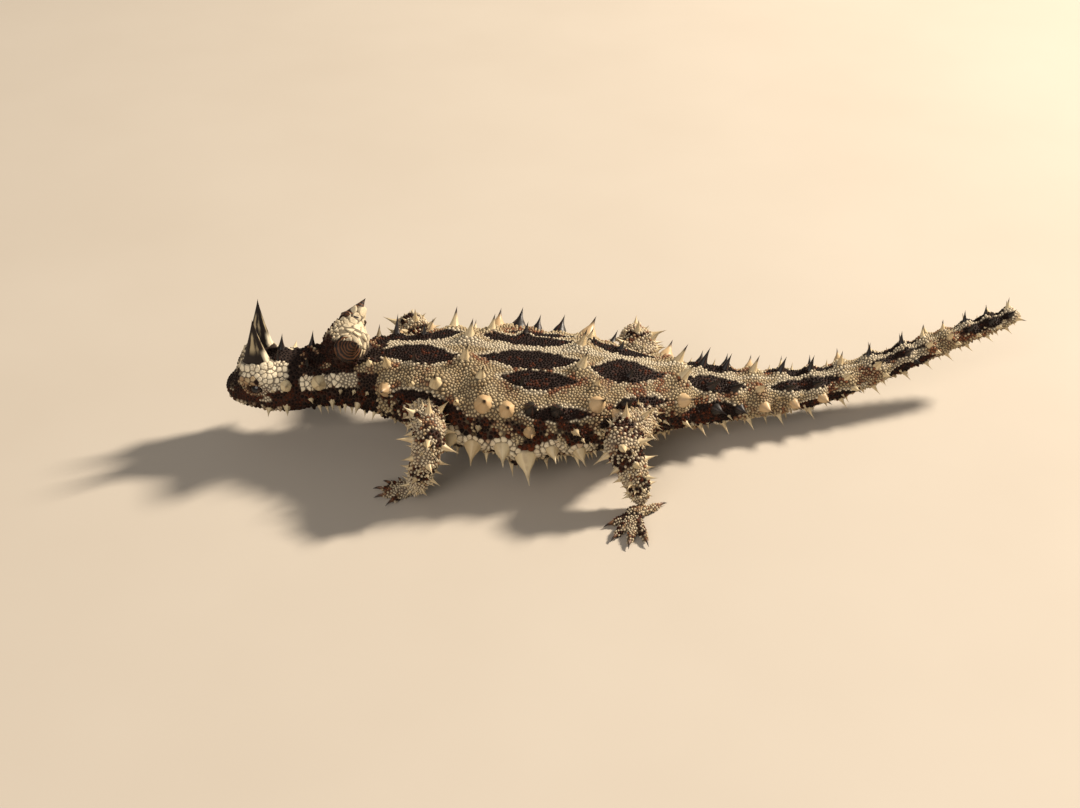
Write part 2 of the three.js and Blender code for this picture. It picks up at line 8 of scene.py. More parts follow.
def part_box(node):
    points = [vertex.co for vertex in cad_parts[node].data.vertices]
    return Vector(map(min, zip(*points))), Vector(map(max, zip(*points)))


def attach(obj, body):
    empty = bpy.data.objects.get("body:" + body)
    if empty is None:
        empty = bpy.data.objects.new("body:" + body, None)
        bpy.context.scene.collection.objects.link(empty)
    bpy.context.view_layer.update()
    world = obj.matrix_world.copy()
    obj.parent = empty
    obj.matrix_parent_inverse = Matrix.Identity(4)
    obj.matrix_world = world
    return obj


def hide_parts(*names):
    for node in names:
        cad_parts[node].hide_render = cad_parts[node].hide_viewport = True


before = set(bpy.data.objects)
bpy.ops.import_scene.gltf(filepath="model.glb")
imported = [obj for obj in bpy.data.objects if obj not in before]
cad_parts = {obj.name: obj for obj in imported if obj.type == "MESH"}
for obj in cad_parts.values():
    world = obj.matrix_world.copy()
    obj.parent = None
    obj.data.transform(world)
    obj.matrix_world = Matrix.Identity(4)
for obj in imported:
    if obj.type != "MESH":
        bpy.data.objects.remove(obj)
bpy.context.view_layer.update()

# All shapes are worked out in millimetres, with the head towards -X, the left side towards -Y
# and the soles at z = 0. They are moved into the frame and turned into metres as meshes are made.
MM = 0.001
SKIN_DEPTH = 0.25  # how far the skin lies under the tops of the scales
SKIN_GRAIN = 0.4  # length of the skin's faces
FLOOR_CLEARANCE = 0.02

# The axis and the section at each station, from the snout to the tail's tip: x, y, z,
# half width, height above the axis, depth below it, and the roll to the left in degrees.
STATIONS = np.array([
    [-90.3, 3.4, 12.4, 1.6, 1.5, 1.2, 0],
    [-89.3, 3.5, 12.6, 3.4, 2.9, 2.2, 0],
    [-87.0, 3.6, 12.9, 4.9, 4.3, 3.3, 0],
    [-83.5, 3.7, 13.2, 6.3, 5.9, 4.4, 0],
    [-79.5, 3.8, 13.6, 7.4, 7.0, 5.2, 0],
    [-75.0, 3.8, 14.0, 7.9, 7.0, 5.5, 0],
    [-70.5, 3.8, 14.6, 7.0, 6.6, 5.4, 0],
    [-65.5, 3.8, 15.2, 6.9, 6.9, 5.6, 0],
    [-59.5, 3.6, 15.4, 7.8, 7.8, 6.3, 0],
    [-52.5, 3.0, 15.2, 10.2, 8.8, 7.3, 0],
    [-44.5, 2.0, 14.8, 13.4, 9.8, 8.3, 0],
    [-35.0, 0.8, 14.2, 16.2, 10.4, 9.0, 0],
    [-24.0, 0.0, 13.5, 17.8, 10.5, 9.2, 0],
    [-12.5, -0.3, 13.0, 17.2, 10.2, 8.8, 0],
    [-2.5, 0.2, 12.6, 14.0, 9.2, 7.8, 0],
    [5.0, 1.2, 12.0, 10.6, 7.9, 6.8, 2],
    [11.5, 2.5, 11.1, 8.3, 6.5, 6.1, 6],
    [18.5, 4.1, 10.0, 6.8, 5.6, 5.5, 12],
    [27.5, 6.2, 8.8, 5.6, 4.9, 5.0, 17],
    [38.0, 8.8, 8.0, 4.7, 4.2, 4.3, 20],
    [48.0, 11.4, 8.5, 4.0, 3.7, 3.8, 19],
    [57.0, 14.0, 10.2, 3.5, 3.2, 3.3, 15],
    [66.0, 16.8, 12.3, 3.0, 2.8, 2.8, 12],
    [76.0, 20.0, 14.7, 2.5, 2.4, 2.4, 10],
    [85.0, 23.0, 16.7, 2.1, 2.1, 2.0, 10],
    [91.0, 25.0, 17.9, 1.7, 1.7, 1.6, 10],
    [93.4, 25.8, 18.3, 0.9, 0.9, 0.9, 10],
])
SECTION_POWER = 2.3
SNOUT = STATIONS[0, 0]
TAIL_TIP = STATIONS[-1, 0]
HEAD_END = -72.5
NECK_END = -55.0
TORSO_END = 12.8

# Head
EYE = {"x": -82.8, "angle": 66, "radius": 1.9, "sunk": 0.75, "wide": 1.3, "tall": 0.66}
LID = {"thickness": 1.0, "out": 0.72}
MOUTH_HEIGHT = 11.3
MOUTH_CORNER = -76.5
NOSTRIL = {"x": -88.6, "angle": 48, "radius": 0.5}
BROW_RIDGE = {"x": -81.0, "angle": 45, "long": 5.8, "tall": 1.9}
BROW_HORN = {
    "x": -81.9,
    "angle": 22,
    "length": 13.8,
    "radius": 3.9,
    "flatness": 0.54,
    "tilt": 84,
    "sweep": 0.03,
}

# The false head on the neck: a lump with a horn to each side
KNOB = {"x": -62.8, "rise": 8.4, "long": 5.4, "wide": 6.6, "tall": 5.0}
KNOB_START = 0.8  # how far outside the neck's own section the knob begins
KNOB_HORN = {"length": 7.8, "radius": 4.1, "ahead": 0.4, "out": 4.0, "above": 1.4, "way": (0.34, 0.62, 0.7)}

# Spines as x on the axis, angle from the back's midline, length and base radius, on both sides
HEAD_SPINES = [
    [-75.4, 62, 3.0, 1.5],
    [-78.3, 70, 1.8, 1.2],
    [-77.4, 12, 4.2, 1.6],
    [-76.0, 100, 3.4, 1.4],
    [-80.6, 112, 2.2, 1.0],
    [-87.2, 34, 1.3, 0.8],
]
NECK_SPINES = [
    [-70.4, 26, 4.0, 1.4],
    [-68.2, 66, 4.2, 2.0],
    [-70.6, 92, 2.6, 1.2],
    [-66.0, 104, 3.2, 1.2],
    [-59.6, 106, 3.4, 1.4],
    [-57.0, 34, 3.2, 1.2],
]
TORSO_SPINES = [
    [-52.8, 33, 5.6, 1.5],
    [-52.4, 68, 4.2, 2.0],
    [-47.0, 21, 3.4, 1.3],
    [-46.2, 52, 3.4, 1.4],
    [-41.0, 46, 6.0, 2.5],
    [-36.4, 13, 5.4, 2.3],
    [-36.4, 60, 3.4, 1.4],
    [-32.4, 31, 4.8, 2.2],
    [-31.0, 57, 5.4, 2.3],
    [-26.4, 59, 5.8, 2.4],
    [-21.6, 56, 4.8, 1.7],
    [-16.4, 57, 4.6, 1.7],
    [-11.4, 12, 5.2, 2.2],
    [-8.4, 30, 3.4, 1.5],
    [-8.6, 52, 5.2, 2.2],
    [-2.8, 54, 4.4, 1.6],
    [-23.8, 31, 3.0, 1.2],
    [-1.5, 20, 3.0, 1.2],
    [-37.0, 100, 5.4, 2.0],
    [-32.6, 106, 6.6, 2.5],
    [-26.6, 101, 5.4, 2.0],
    [-22.0, 112, 7.0, 2.5],
    [-16.8, 100, 4.6, 1.7],
    [-11.6, 106, 4.8, 1.8],
    [-25.0, 128, 6.0, 1.9],
    [-12.6, 79, 3.6, 1.4],
    [-31.6, 81, 3.8, 1.5],
    [-21.4, 80, 4.0, 1.5],
    [9.8, 15, 5.8, 2.2],
    [9.2, 54, 4.8, 2.0],
    [10.4, 92, 3.4, 1.2],
]
BELLY_SPINES = {"from": -42, "to": -6, "pitch": 6, "angles": [126, 146], "length": 3.2, "radius": 1.2}
TAIL_RINGS = [16.2, 22, 28.2, 35.4, 42.4, 50, 57.6, 65, 70.4, 75.4, 80.4, 85.6, 90.4]
TAIL_ROWS = [(25, 5.0, 1.8, 0), (68, 4.2, 1.6, 1.2), (108, 3.6, 1.1, -1.4)]  # angle, length, radius, shift
TAIL_TIP_SIZE = 0.62
SPINE_LEAN = 0.12
SPINE_SWEEP = 0.06
SPINE_FOOT = 0.74  # share of a spine's radius that is bare horn, inside the scales on its foot
FLARE = {"reach": 2.5, "rise": 0.95}  # the raised skin round a spine, in radii of the spine
PLATED_FLANK = (95, 120)  # angles between which the flank's large spines stand among pale plates

# Legs: the joints' places, the radii of the limb there, and the foot. Toes are an angle from +X
# in the floor's plane and a length to the claw's root.
LEGS = {
    "foreleg_left": {
        "side": 1,
        "upper": ([(-45, -7, 15), (-44, -14, 16), (-43, -20.5, 17.2)], (4.0, 3.4, 2.9)),
        "lower": ([(-43, -20.5, 17.2), (-44.6, -22.4, 10.5), (-46.6, -21, 3.4)], (2.9, 2.8, 2.0)),
        "palm": ((-49, -19.6, 1.3), 1.9),
        "toes": [(112, 3.6), (142, 4.6), (168, 5.2), (194, 4.8), (228, 3.8)],
    },
    "foreleg_right": {
        "side": -1,
        "upper": ([(-46, 10, 15), (-47.5, 17, 16), (-49.5, 22.6, 17.4)], (4.0, 3.4, 2.9)),
        "lower": ([(-49.5, 22.6, 17.4), (-52.4, 24, 10.5), (-55, 23, 3.4)], (2.9, 2.8, 2.0)),
        "palm": ((-57.4, 22.4, 1.3), 1.9),
        "toes": [(248, 3.6), (218, 4.6), (192, 5.2), (166, 4.8), (132, 3.8)],
    },
    "hindleg_left": {
        "side": 1,
        "upper": ([(2.5, -4, 12.5), (0.5, -13, 14), (-3.0, -20.1, 15.4)], (4.8, 4.2, 3.3)),
        "lower": ([(-3.0, -20.1, 15.4), (-0.2, -22.8, 9.5), (1.6, -24.4, 3.8)], (3.3, 3.1, 2.2)),
        "palm": ((0.4, -28, 1.4), 2.1),
        "toes": [(34, 6.4), (284, 7.6), (260, 8.2), (236, 7.4), (206, 5.2)],
    },
    "hindleg_right": {
        "side": -1,
        "upper": ([(3.5, 7, 12.5), (3.4, 14, 14), (2.2, 20.2, 15.2)], (4.8, 4.2, 3.3)),
        "lower": ([(2.2, 20.2, 15.2), (4.6, 23.4, 9.5), (6.2, 25.6, 3.8)], (3.3, 3.1, 2.2)),
        "palm": ((5.0, 29.2, 1.4), 2.1),
        "toes": [(-34, 6.4), (76, 7.6), (100, 8.2), (124, 7.4), (154, 5.2)],
    },
}
TOE = {"radius": 1.05, "taper": (1.1, 1.0, 0.78), "tip_height": 0.8}
CLAW = {"length": 2.4, "radius": 0.6, "droop": 0.16}
PAD_FLATNESS = 0.8

# Spines of a limb: share of its length, angle from its outer face (90 is its rear), length, radius
UPPER_SPINES = [
    [0.62, -50, 3.6, 1.4],
    [0.62, 40, 3.4, 1.3],
    [0.8, 0, 4.2, 1.6],
    [0.84, 100, 3.0, 1.2],
    [0.84, -100, 3.0, 1.2],
]
LOWER_SPINES = [
    [0.12, -75, 4.4, 1.4],
    [0.14, 75, 3.8, 1.3],
    [0.1, 0, 3.6, 1.4],
    [0.38, -60, 3.2, 1.1],
    [0.4, 20, 3.0, 1.1],
    [0.42, 95, 3.2, 1.1],
    [0.62, -95, 2.6, 0.9],
    [0.66, -25, 2.4, 0.9],
    [0.68, 60, 2.6, 0.9],
    [0.84, 100, 1.8, 0.8],
]

# Dark blotches as x from and to, and angle from the back's midline from and to, on both sides
BLOTCHES = [
    [-57.4, -37.6, 4, 31],
    [-33.8, -10.8, 3, 21.5],
    [-9.2, 6.4, 4, 35],
    [10.0, 26.0, 5, 41],
    [31.0, 49.8, 6, 41],
    [55.9, 69.5, 7, 36],
    [78.0, 92.0, 5, 60],
    [-28.8, -12.2, 22.5, 42],
    [-51.8, -34.6, 57, 85],
    [-23.0, -9.3, 53, 68],
    [-4.9, 6.3, 48, 64],
    [10.1, 25.3, 52, 112],
    [37.0, 53.5, 66, 108],
    [59.5, 71.0, 60, 108],
]

MARKINGS_TURN = 7  # degrees that the back's markings are turned to the right

# Painted shade: the flank's spines between these places on the axis are coloured fully dark, from farther
# ahead on the right
SHADED_SPINES_START = {1: -24.0, -1: -28.0}
SHADED_SPINES_END = -14.0

SIDES = {"left": 1, "right": -1}
UP = np.array([0.0, 0.0, 1.0])
X = np.array([1.0, 0.0, 0.0])


# Small sums

def unit(v):
    v = np.asarray(v, float)
    return v / np.maximum(np.linalg.norm(v, axis=-1, keepdims=True), 1e-9)


def dot(a, b):
    return np.sum(a * b, axis=-1)


def ease(low, high, value):
    """0 below low, 1 above high, and smooth between them."""
    share = np.clip((value - low) / (high - low), 0, 1)
    return share * share * (3 - 2 * share)


def within(start, full, fade, end, value):
    """1 from full to fade, 0 before start and after end, and smooth between them."""
    return ease(start, full, value) * (1 - ease(fade, end, value))


def chance(i):
    """A repeatable number from 0 to 1 for piece i."""
    wave = np.sin(np.asarray(i, float) * 12.9898 + 78.233) * 43758.5453
    return wave - np.floor(wave)


def mottle(points, grain, seed=0.0):
    """Smooth noise from -1 to 1 whose patches are about as long as the grain."""
    place = points / grain + 17.31 * seed
    cell = np.floor(place)
    share = place - cell
    share = share * share * (3 - 2 * share)
    total = np.zeros(len(points))
    for corner in np.ndindex(2, 2, 2):
        step = np.array(corner)
        value = np.sin((cell + step) @ np.array([12.9898, 78.233, 37.719])) * 43758.5453
        weight = np.prod(np.where(step == 1, share, 1 - share), axis=1)
        total += weight * (value - np.floor(value))
    return 2 * total - 1


def across(axis):
    """Two directions at right angles to an axis and to each other."""
    a = unit(np.cross(X if abs(axis[2]) > 0.9 else UP, axis))
    return a, np.cross(axis, a)


def tree_of(points):
    """The points in a tree that finds those near a place."""
    tree = kdtree.KDTree(len(points))
    for i, point in enumerate(points):
        tree.insert(point, i)
    tree.balance()
    return tree


# The body's shape

class Trunk:
    """The head, neck, torso and tail as one skin, by x on the axis and angle from the back's
    midline, positive to the left."""

    @staticmethod
    def station(x):
        """The stations' row at each x, on a smooth curve through them."""
        x = np.clip(np.asarray(x, float), SNOUT, TAIL_TIP - 1e-6)
        last = len(STATIONS) - 1
        i = np.clip(np.searchsorted(STATIONS[:, 0], x, side="right") - 1, 0, last - 1)
        p0 = STATIONS[np.maximum(i - 1, 0)]
        p1 = STATIONS[i]
        p2 = STATIONS[i + 1]
        p3 = STATIONS[np.minimum(i + 2, last)]
        step = (p2 - p1)[..., :1]
        f = (x - p1[..., 0])[..., None] / step
        slope_in = (p2 - p0) / (p2 - p0)[..., :1] * step
        slope_out = (p3 - p1) / (p3 - p1)[..., :1] * step
        return (
            (2 * f**3 - 3 * f**2 + 1) * p1
            + (f**3 - 2 * f**2 + f) * slope_in
            + (3 * f**2 - 2 * f**3) * p2
            + (f**3 - f**2) * slope_out
        )

    def axes(self, x):
        """The directions along the axis, to the left and up, rolled as the body is."""
        along = self.along(x)
        left = unit(np.cross(along, UP))
        up = np.cross(left, along)
        roll = np.radians(self.station(x)[..., 6:7])
        return along, left * np.cos(roll) - up * np.sin(roll), up * np.cos(roll) + left * np.sin(roll)

    def along(self, x):
        x = np.asarray(x, float)
        return unit((self.station(x + 0.1) - self.station(x - 0.1))[..., :3])

    def at(self, x, angle, grow=0.0):
        row = self.station(x)
        _, left, up = self.axes(x)
        turn = np.radians(angle)
        s, c = np.sin(turn), np.cos(turn)
        power = 2 / SECTION_POWER
        side = np.sign(s) * np.abs(s) ** power * (row[..., 3] + grow)
        tall = np.where(c > 0, row[..., 4], row[..., 5]) + grow
        rise = np.sign(c) * np.abs(c) ** power * tall
        return row[..., :3] + left * side[..., None] + up * rise[..., None]

    def point(self, x, angle):
        return self.at(x, angle)

    def normal(self, x, angle):
        x = np.asarray(x, float)
        down = self.at(x + 0.1, angle) - self.at(x - 0.1, angle)
        around = self.at(x, angle + 2) - self.at(x, angle - 2)
        return unit(np.cross(around, down))

    def coordinates(self, points):
        """For each point: x on the axis, the angle, and how far it is outside the skin."""
        x = np.clip(points[:, 0], SNOUT, TAIL_TIP)
        for _ in range(5):
            along = self.along(x)
            x = x + dot(points - self.station(x)[:, :3], along) * along[:, 0]
            x = np.clip(x, SNOUT, TAIL_TIP)
        row = self.station(x)
        along, left, up = self.axes(x)
        arm = points - row[:, :3]
        side = dot(arm, left) / row[:, 3]
        rise = dot(arm, up)
        rise = rise / np.where(rise > 0, row[:, 4], row[:, 5])
        half = SECTION_POWER / 2
        a = np.sign(side) * np.abs(side) ** half
        b = np.sign(rise) * np.abs(rise) ** half
        ratio = np.hypot(a, b) ** (1 / half)
        depth = (ratio - 1) * np.minimum(row[:, 3], row[:, 4]) + np.abs(dot(arm, along))
        return x, np.degrees(np.arctan2(a, b)), depth


class Limb:
    """One length of a leg, by the share of its length and the angle from its outer face."""

    def __init__(self, points, radii, side):
        self.points = np.array(points, float)
        self.radii = np.array(radii, float)
        self.side = side
        self.length = np.linalg.norm(np.diff(self.points, axis=0), axis=1).sum()

    def middle(self, u):
        u = np.asarray(u, float)[..., None]
        a, b, c = self.points
        return a * (1 - u) * (1 - 2 * u) + b * 4 * u * (1 - u) + c * u * (2 * u - 1)

    def along(self, u):
        u = np.asarray(u, float)[..., None]
        a, b, c = self.points
        return unit(a * (4 * u - 3) + b * (4 - 8 * u) + c * (4 * u - 1))

    def radius(self, u):
        return np.interp(u, [0, 0.5, 1], self.radii)

    def normal(self, u, angle):
        along = self.along(u)
        out = unit(np.cross(along, X)) * self.side
        rear = unit(X - along * along[..., :1])
        turn = np.radians(np.asarray(angle, float))[..., None]
        return out * np.cos(turn) + rear * np.sin(turn)

    def at(self, u, angle, radius, forward=0.0):
        ahead = self.along(u) * np.asarray(forward, float)[..., None]
        return self.middle(u) + ahead + self.normal(u, angle) * np.asarray(radius, float)[..., None]

    def point(self, u, angle):
        return self.at(u, angle, self.radius(u))

    def coordinates(self, points):
        """For each point: the share along the limb, the angle, and how far outside it is."""
        shares = np.linspace(0, 1, 33)
        stops = self.middle(shares)
        apart = np.linalg.norm(points[:, None] - stops[None], axis=2)
        u = shares[apart.argmin(axis=1)]
        along = self.along(u)
        arm = points - self.middle(u)
        out = dot(arm, self.normal(u, 0))
        rear = dot(arm, self.normal(u, 90))
        u = u + dot(arm, along) / self.length
        return u, np.degrees(np.arctan2(rear, out)), apart.min(axis=1) - self.radius(u)


class Foot:
    """A palm and its toes, by the place on the floor's plane."""

    def __init__(self, palm, toes):
        centre, self.radius = palm
        self.centre = np.array(centre, float)
        self.toes = []
        for heading, length in toes:
            turn = math.radians(heading)
            way = np.array([math.cos(turn), math.sin(turn), 0.0])
            end = self.centre + way * length
            end[2] = TOE["tip_height"]
            self.toes.append((way, end))

    def coordinates(self, points):
        arm = points - self.centre
        depth = np.linalg.norm(arm, axis=1) - self.radius
        for _, end in self.toes:
            reach = end - self.centre
            share = np.clip(arm @ reach / (reach @ reach), 0, 1)
            apart = np.linalg.norm(arm - share[:, None] * reach, axis=1)
            depth = np.minimum(depth, apart - TOE["radius"])
        return arm[:, 0], arm[:, 1], depth


TRUNK = Trunk()
LIMBS = {}
FEET = {}
for leg, plan in LEGS.items():
    for length in ("upper", "lower"):
        LIMBS[f"{leg}_{length}"] = Limb(*plan[length], plan["side"])
    FEET[f"{leg}_foot"] = Foot(plan["palm"], plan["toes"])
REGIONS = {"trunk": TRUNK, **LIMBS, **FEET}


def regions_of(points):
    """The region that each point belongs to, by number, and its coordinates there."""
    found = np.array([region.coordinates(points) for region in REGIONS.values()])
    best = found[:, 2].argmin(axis=0)
    places = found[best, :, np.arange(len(points))]
    return best, places[:, 0], places[:, 1], places[:, 2]


# Closed forms as points and triangles

def tube(rings):
    """A closed surface through rings of points, with its ends filled."""
    rings = np.asarray(rings, float)
    count, sides = rings.shape[:2]
    points = np.concatenate([rings.reshape(-1, 3), rings[[0, -1]].mean(axis=1)])
    j = np.arange(sides)
    k = (j + 1) % sides
    rows = (np.arange(count - 1) * sides)[:, None]
    a, b = rows + j, rows + k
    walls = np.stack([a, a + sides, b + sides, a, b + sides, b], axis=-1).reshape(-1, 3)
    first = np.stack([np.full(sides, count * sides), j, k], axis=-1)
    end = (count - 1) * sides
    last = np.stack([np.full(sides, count * sides + 1), end + k, end + j], axis=-1)
    return points, np.concatenate([walls, first, last])


def join(forms):
    """One pair of points and triangles from several."""
    points = np.concatenate([form[0] for form in forms])
    starts = np.cumsum([0] + [len(form[0]) for form in forms])
    faces = np.concatenate([form[1] + start for form, start in zip(forms, starts)])
    return points, faces


def circle(sides):
    turn = np.arange(sides) * 2 * math.pi / sides
    return np.cos(turn), np.sin(turn)


def ball(centre, radii, rings=16, sides=24):
    tilt = np.linspace(0, math.pi, rings + 2)[1:-1]
    c, s = circle(sides)
    shape = np.stack([np.outer(np.sin(tilt), c), np.outer(np.sin(tilt), s),
                      np.repeat(np.cos(tilt)[:, None], sides, axis=1)], axis=-1)
    return tube(shape[::-1] * np.asarray(radii) + centre)


def cone_rings(root, axis, heights, radii, sides, sweep=0.0, flatness=1.0):
    """Rings up a tapered form. The sweep carries its tip towards the tail, and the flatness
    narrows it across the body."""
    a, b = across(axis)
    c, s = circle(sides)
    arm = flatness * c[:, None] * a + s[:, None] * b
    length = heights[-1]
    bend = sweep * length * np.maximum(heights / length, 0) ** 2
    middle = root + heights[:, None] * axis + bend[:, None] * X
    return middle[:, None] + arm * np.asarray(radii)[:, None, None]


# Places on the head and neck

def eye_place(side):
    facing = TRUNK.normal(EYE["x"], side * EYE["angle"])
    centre = TRUNK.point(EYE["x"], side * EYE["angle"]) - facing * EYE["radius"] * EYE["sunk"]
    return centre, facing


def eye_spread(points, side):
    """How far points are from the middle of the eye's opening, and how far ahead of it."""
    centre, facing = eye_place(side)
    a, b = across(facing)
    arm = points - centre
    return np.hypot(arm @ a / EYE["wide"], arm @ b / EYE["tall"]), arm @ facing


def brow_horn_place(side):
    tilt = math.radians(BROW_HORN["tilt"])
    axis = np.array([0, -side * math.cos(tilt), math.sin(tilt)])
    return TRUNK.point(BROW_HORN["x"], side * BROW_HORN["angle"]), axis


def knob_centre():
    row = TRUNK.station(KNOB["x"])
    return np.array([KNOB["x"], row[1], row[2] + KNOB["rise"]])


def knob_horn_place(side):
    root = knob_centre() + [KNOB_HORN["ahead"], -side * KNOB_HORN["out"], KNOB_HORN["above"]]
    ahead, out, rise = KNOB_HORN["way"]
    return root, unit([ahead, -side * out, rise])


def nostril_place(side):
    return TRUNK.point(NOSTRIL["x"], side * NOSTRIL["angle"])


# Spines

class Spine:
    def __init__(self, root, axis, length, radius, group, ring=0.7):
        self.root = root
        self.axis = axis
        self.length = length
        self.radius = radius
        self.group = group
        self.ring = ring  # size of the scales round its foot


def both_sides(places):
    pairs = []
    for x, angle, *size in places:
        pairs.append([x, angle, *size])
        pairs.append([x + 0.8 * (float(chance(x)) - 0.5), -angle, *size])
    return pairs


def spines_on(region, places, group):
    grown = []
    for i, (u, angle, length, radius) in enumerate(places):
        size = 0.9 + 0.2 * float(chance(i + length))
        axis = unit(region.normal(u, angle) + SPINE_LEAN * region.along(u))
        ring = 1.5 if group == "torso" and plated(angle, radius) else 0.62 + 0.12 * radius
        grown.append(Spine(region.point(u, angle), axis, length * size, radius * size, group, ring))
    return grown


def plated(angle, radius):
    """Whether a spine of the torso is one of the flank's large ones, which stand among plates."""
    low, high = PLATED_FLANK
    return low < abs(angle) < high and radius > 1.5


def tail_places():
    first, last = TAIL_RINGS[0], TAIL_RINGS[-1]
    places = []
    for ring in TAIL_RINGS:
        size = 1 - (1 - TAIL_TIP_SIZE) * (ring - first) / (last - first)
        for angle, length, radius, shift in TAIL_ROWS:
            places.append([ring + shift, angle, length * size, radius * size])
    return places


def belly_places():
    plan = BELLY_SPINES
    places = []
    for row, angle in enumerate(plan["angles"]):
        for x in np.arange(plan["from"] + row * plan["pitch"] / 2, plan["to"] + 0.01, plan["pitch"]):
            places.append([x, angle, plan["length"], plan["radius"]])
    return places


def small_places():
    """Smaller spines of the flanks, belly and tail, between the large ones."""
    places = []
    for row, angle in enumerate([88, 95, 119, 134, 158]):
        for i, x in enumerate(np.arange(-50 + 1.7 * row, 7, 4.3)):
            wander = chance([i + 9.1 * row, i + 3.7 * row])
            places.append([x + 2 * wander[0] - 1, angle + 6 * wander[1] - 3, 1.7 + 0.9 * wander[1], 0.75])
    for row, angle in enumerate([46, 88, 136, 162]):
        for i, x in enumerate(np.arange(15 + 1.5 * row, 92, 4.6)):
            wander = chance([i + 5.3 * row, i + 8.9 * row])
            size = 1 - 0.4 * (x - 15) / 77
            places.append([x + 1.4 * wander[0] - 0.7, angle, (1.5 + 0.9 * wander[1]) * size, 0.6 * size])
    for row, angle in enumerate([84, 118, 140]):
        for i, x in enumerate(np.arange(-71 + row, -56, 3.4)):
            wander = chance([i + 2.3 * row, i + 6.1 * row])
            places.append([x + wander[0], angle + 8 * wander[1] - 4, 1.5 + 0.9 * wander[1], 0.7])
    return places


def limb_small_places():
    """Smaller spines of a limb, between the large ones."""
    places = []
    for row, u in enumerate(np.linspace(0.2, 0.92, 6)):
        for i, angle in enumerate(np.arange(-150, 150, 43)):
            wander = chance([i + 4.7 * row, i + 1.9 * row])
            turned = angle + 21 * (row % 2) + 10 * wander[1]
            places.append([u + 0.08 * wander[0], turned, 1.2 + wander[1], 0.55])
    return places


def clear_of(kept, spines):
    """The spines whose feet stay clear of those already kept."""
    clear = []
    for spine in spines:
        others = kept + clear
        gaps = [np.linalg.norm(spine.root - other.root) - spine.radius - other.radius for other in others]
        if min(gaps, default=1) > 0.15:
            clear.append(spine)
    return clear


def all_spines():
    large = spines_on(TRUNK, both_sides(HEAD_SPINES), "head")
    large += spines_on(TRUNK, both_sides(NECK_SPINES), "neck")
    large += spines_on(TRUNK, both_sides(TORSO_SPINES + belly_places()), "torso")
    large += spines_on(TRUNK, both_sides(tail_places()), "tail")
    small = spines_on(TRUNK, both_sides(small_places()), "small")
    for name, limb in LIMBS.items():
        plan = UPPER_SPINES if name.endswith("upper") else LOWER_SPINES
        large += spines_on(limb, plan, "leg")
        small += spines_on(limb, limb_small_places(), "small")
    inner = [small_one for small_one in small if buried(small_one.root) < 0.2]
    kept = large + clear_of(large, inner)
    return [spine for spine in kept if spine.root[2] + spine.length * spine.axis[2] > 0.3]


def buried(point):
    """How deep a point lies inside the region that covers it most."""
    return -min(region.coordinates(point[None])[2][0] for region in REGIONS.values())


# Skin

def limb_form(limb):
    """A limb rounded at both ends."""
    turns = np.linspace(0.15, math.pi / 2, 6)
    stops = [(0, -math.cos(t), math.sin(t)) for t in turns]
    stops += [(u, 0, 1) for u in np.linspace(0, 1, 24)[1:-1]]
    stops += [(1, math.cos(t), math.sin(t)) for t in turns[::-1]]
    u, forward, width = np.array(stops).T
    radius = limb.radius(u) - SKIN_DEPTH
    angles = np.arange(0, 360, 12)
    return tube(limb.at(u[:, None], angles[None], (radius * width)[:, None], (radius * forward)[:, None]))


def toe_form(foot, way, end):
    """A toe with low knuckles and a rounded tip."""
    share = np.concatenate([np.linspace(0, 1, 18), 1 + 0.1 * np.array([0.5, 0.85, 1.0])])
    taper = np.interp(share, [0, 0.5, 1, 1.05, 1.085, 1.1], [*TOE["taper"], 0.62, 0.36, 0.1])
    knuckles = 1 + 0.07 * np.cos(share * 2 * math.pi * 2.6)
    radius = (TOE["radius"] * knuckles - 0.5 * SKIN_DEPTH) * taper
    flat = np.cross(way, UP)
    c, s = circle(16)
    middle = foot.centre + (end - foot.centre) * share[:, None]
    arm = c[:, None] * flat + s[:, None] * UP
    return tube(middle[:, None] + arm * radius[:, None, None])


def skin_forms():
    """The closed forms that the skin is cast over."""
    x = np.linspace(SNOUT, TAIL_TIP, 380)
    forms = [tube(TRUNK.at(x[:, None], np.arange(0, 360, 4)[None], -SKIN_DEPTH))]
    forms += [limb_form(limb) for limb in LIMBS.values()]
    for foot in FEET.values():
        flat = np.array([1, 1, PAD_FLATNESS]) * foot.radius
        forms.append(ball(foot.centre, flat - 0.5 * SKIN_DEPTH))
        forms += [toe_form(foot, way, end) for way, end in foot.toes]
    lump = np.array([KNOB["long"], KNOB["wide"], KNOB["tall"]]) - SKIN_DEPTH
    forms.append(ball(knob_centre(), lump, 20, 32))
    for side in SIDES.values():
        ridge = np.array([BROW_RIDGE["long"], BROW_RIDGE["tall"], BROW_RIDGE["tall"]]) - SKIN_DEPTH
        forms.append(ball(TRUNK.point(BROW_RIDGE["x"], side * BROW_RIDGE["angle"]), ridge))
        forms += lid_forms(side)
        forms += horn_collars(side)
    return join(forms)


def lid_forms(side):
    """A ring of rounded lid round the eye."""
    centre, facing = eye_place(side)
    a, b = across(facing)
    middle = centre + facing * EYE["radius"] * LID["out"]
    c, s = circle(22)
    places = middle + EYE["radius"] * (EYE["wide"] * c[:, None] * a + EYE["tall"] * s[:, None] * b)
    return [ball(place, [LID["thickness"] / 2 - 0.05] * 3, 8, 12) for place in places]


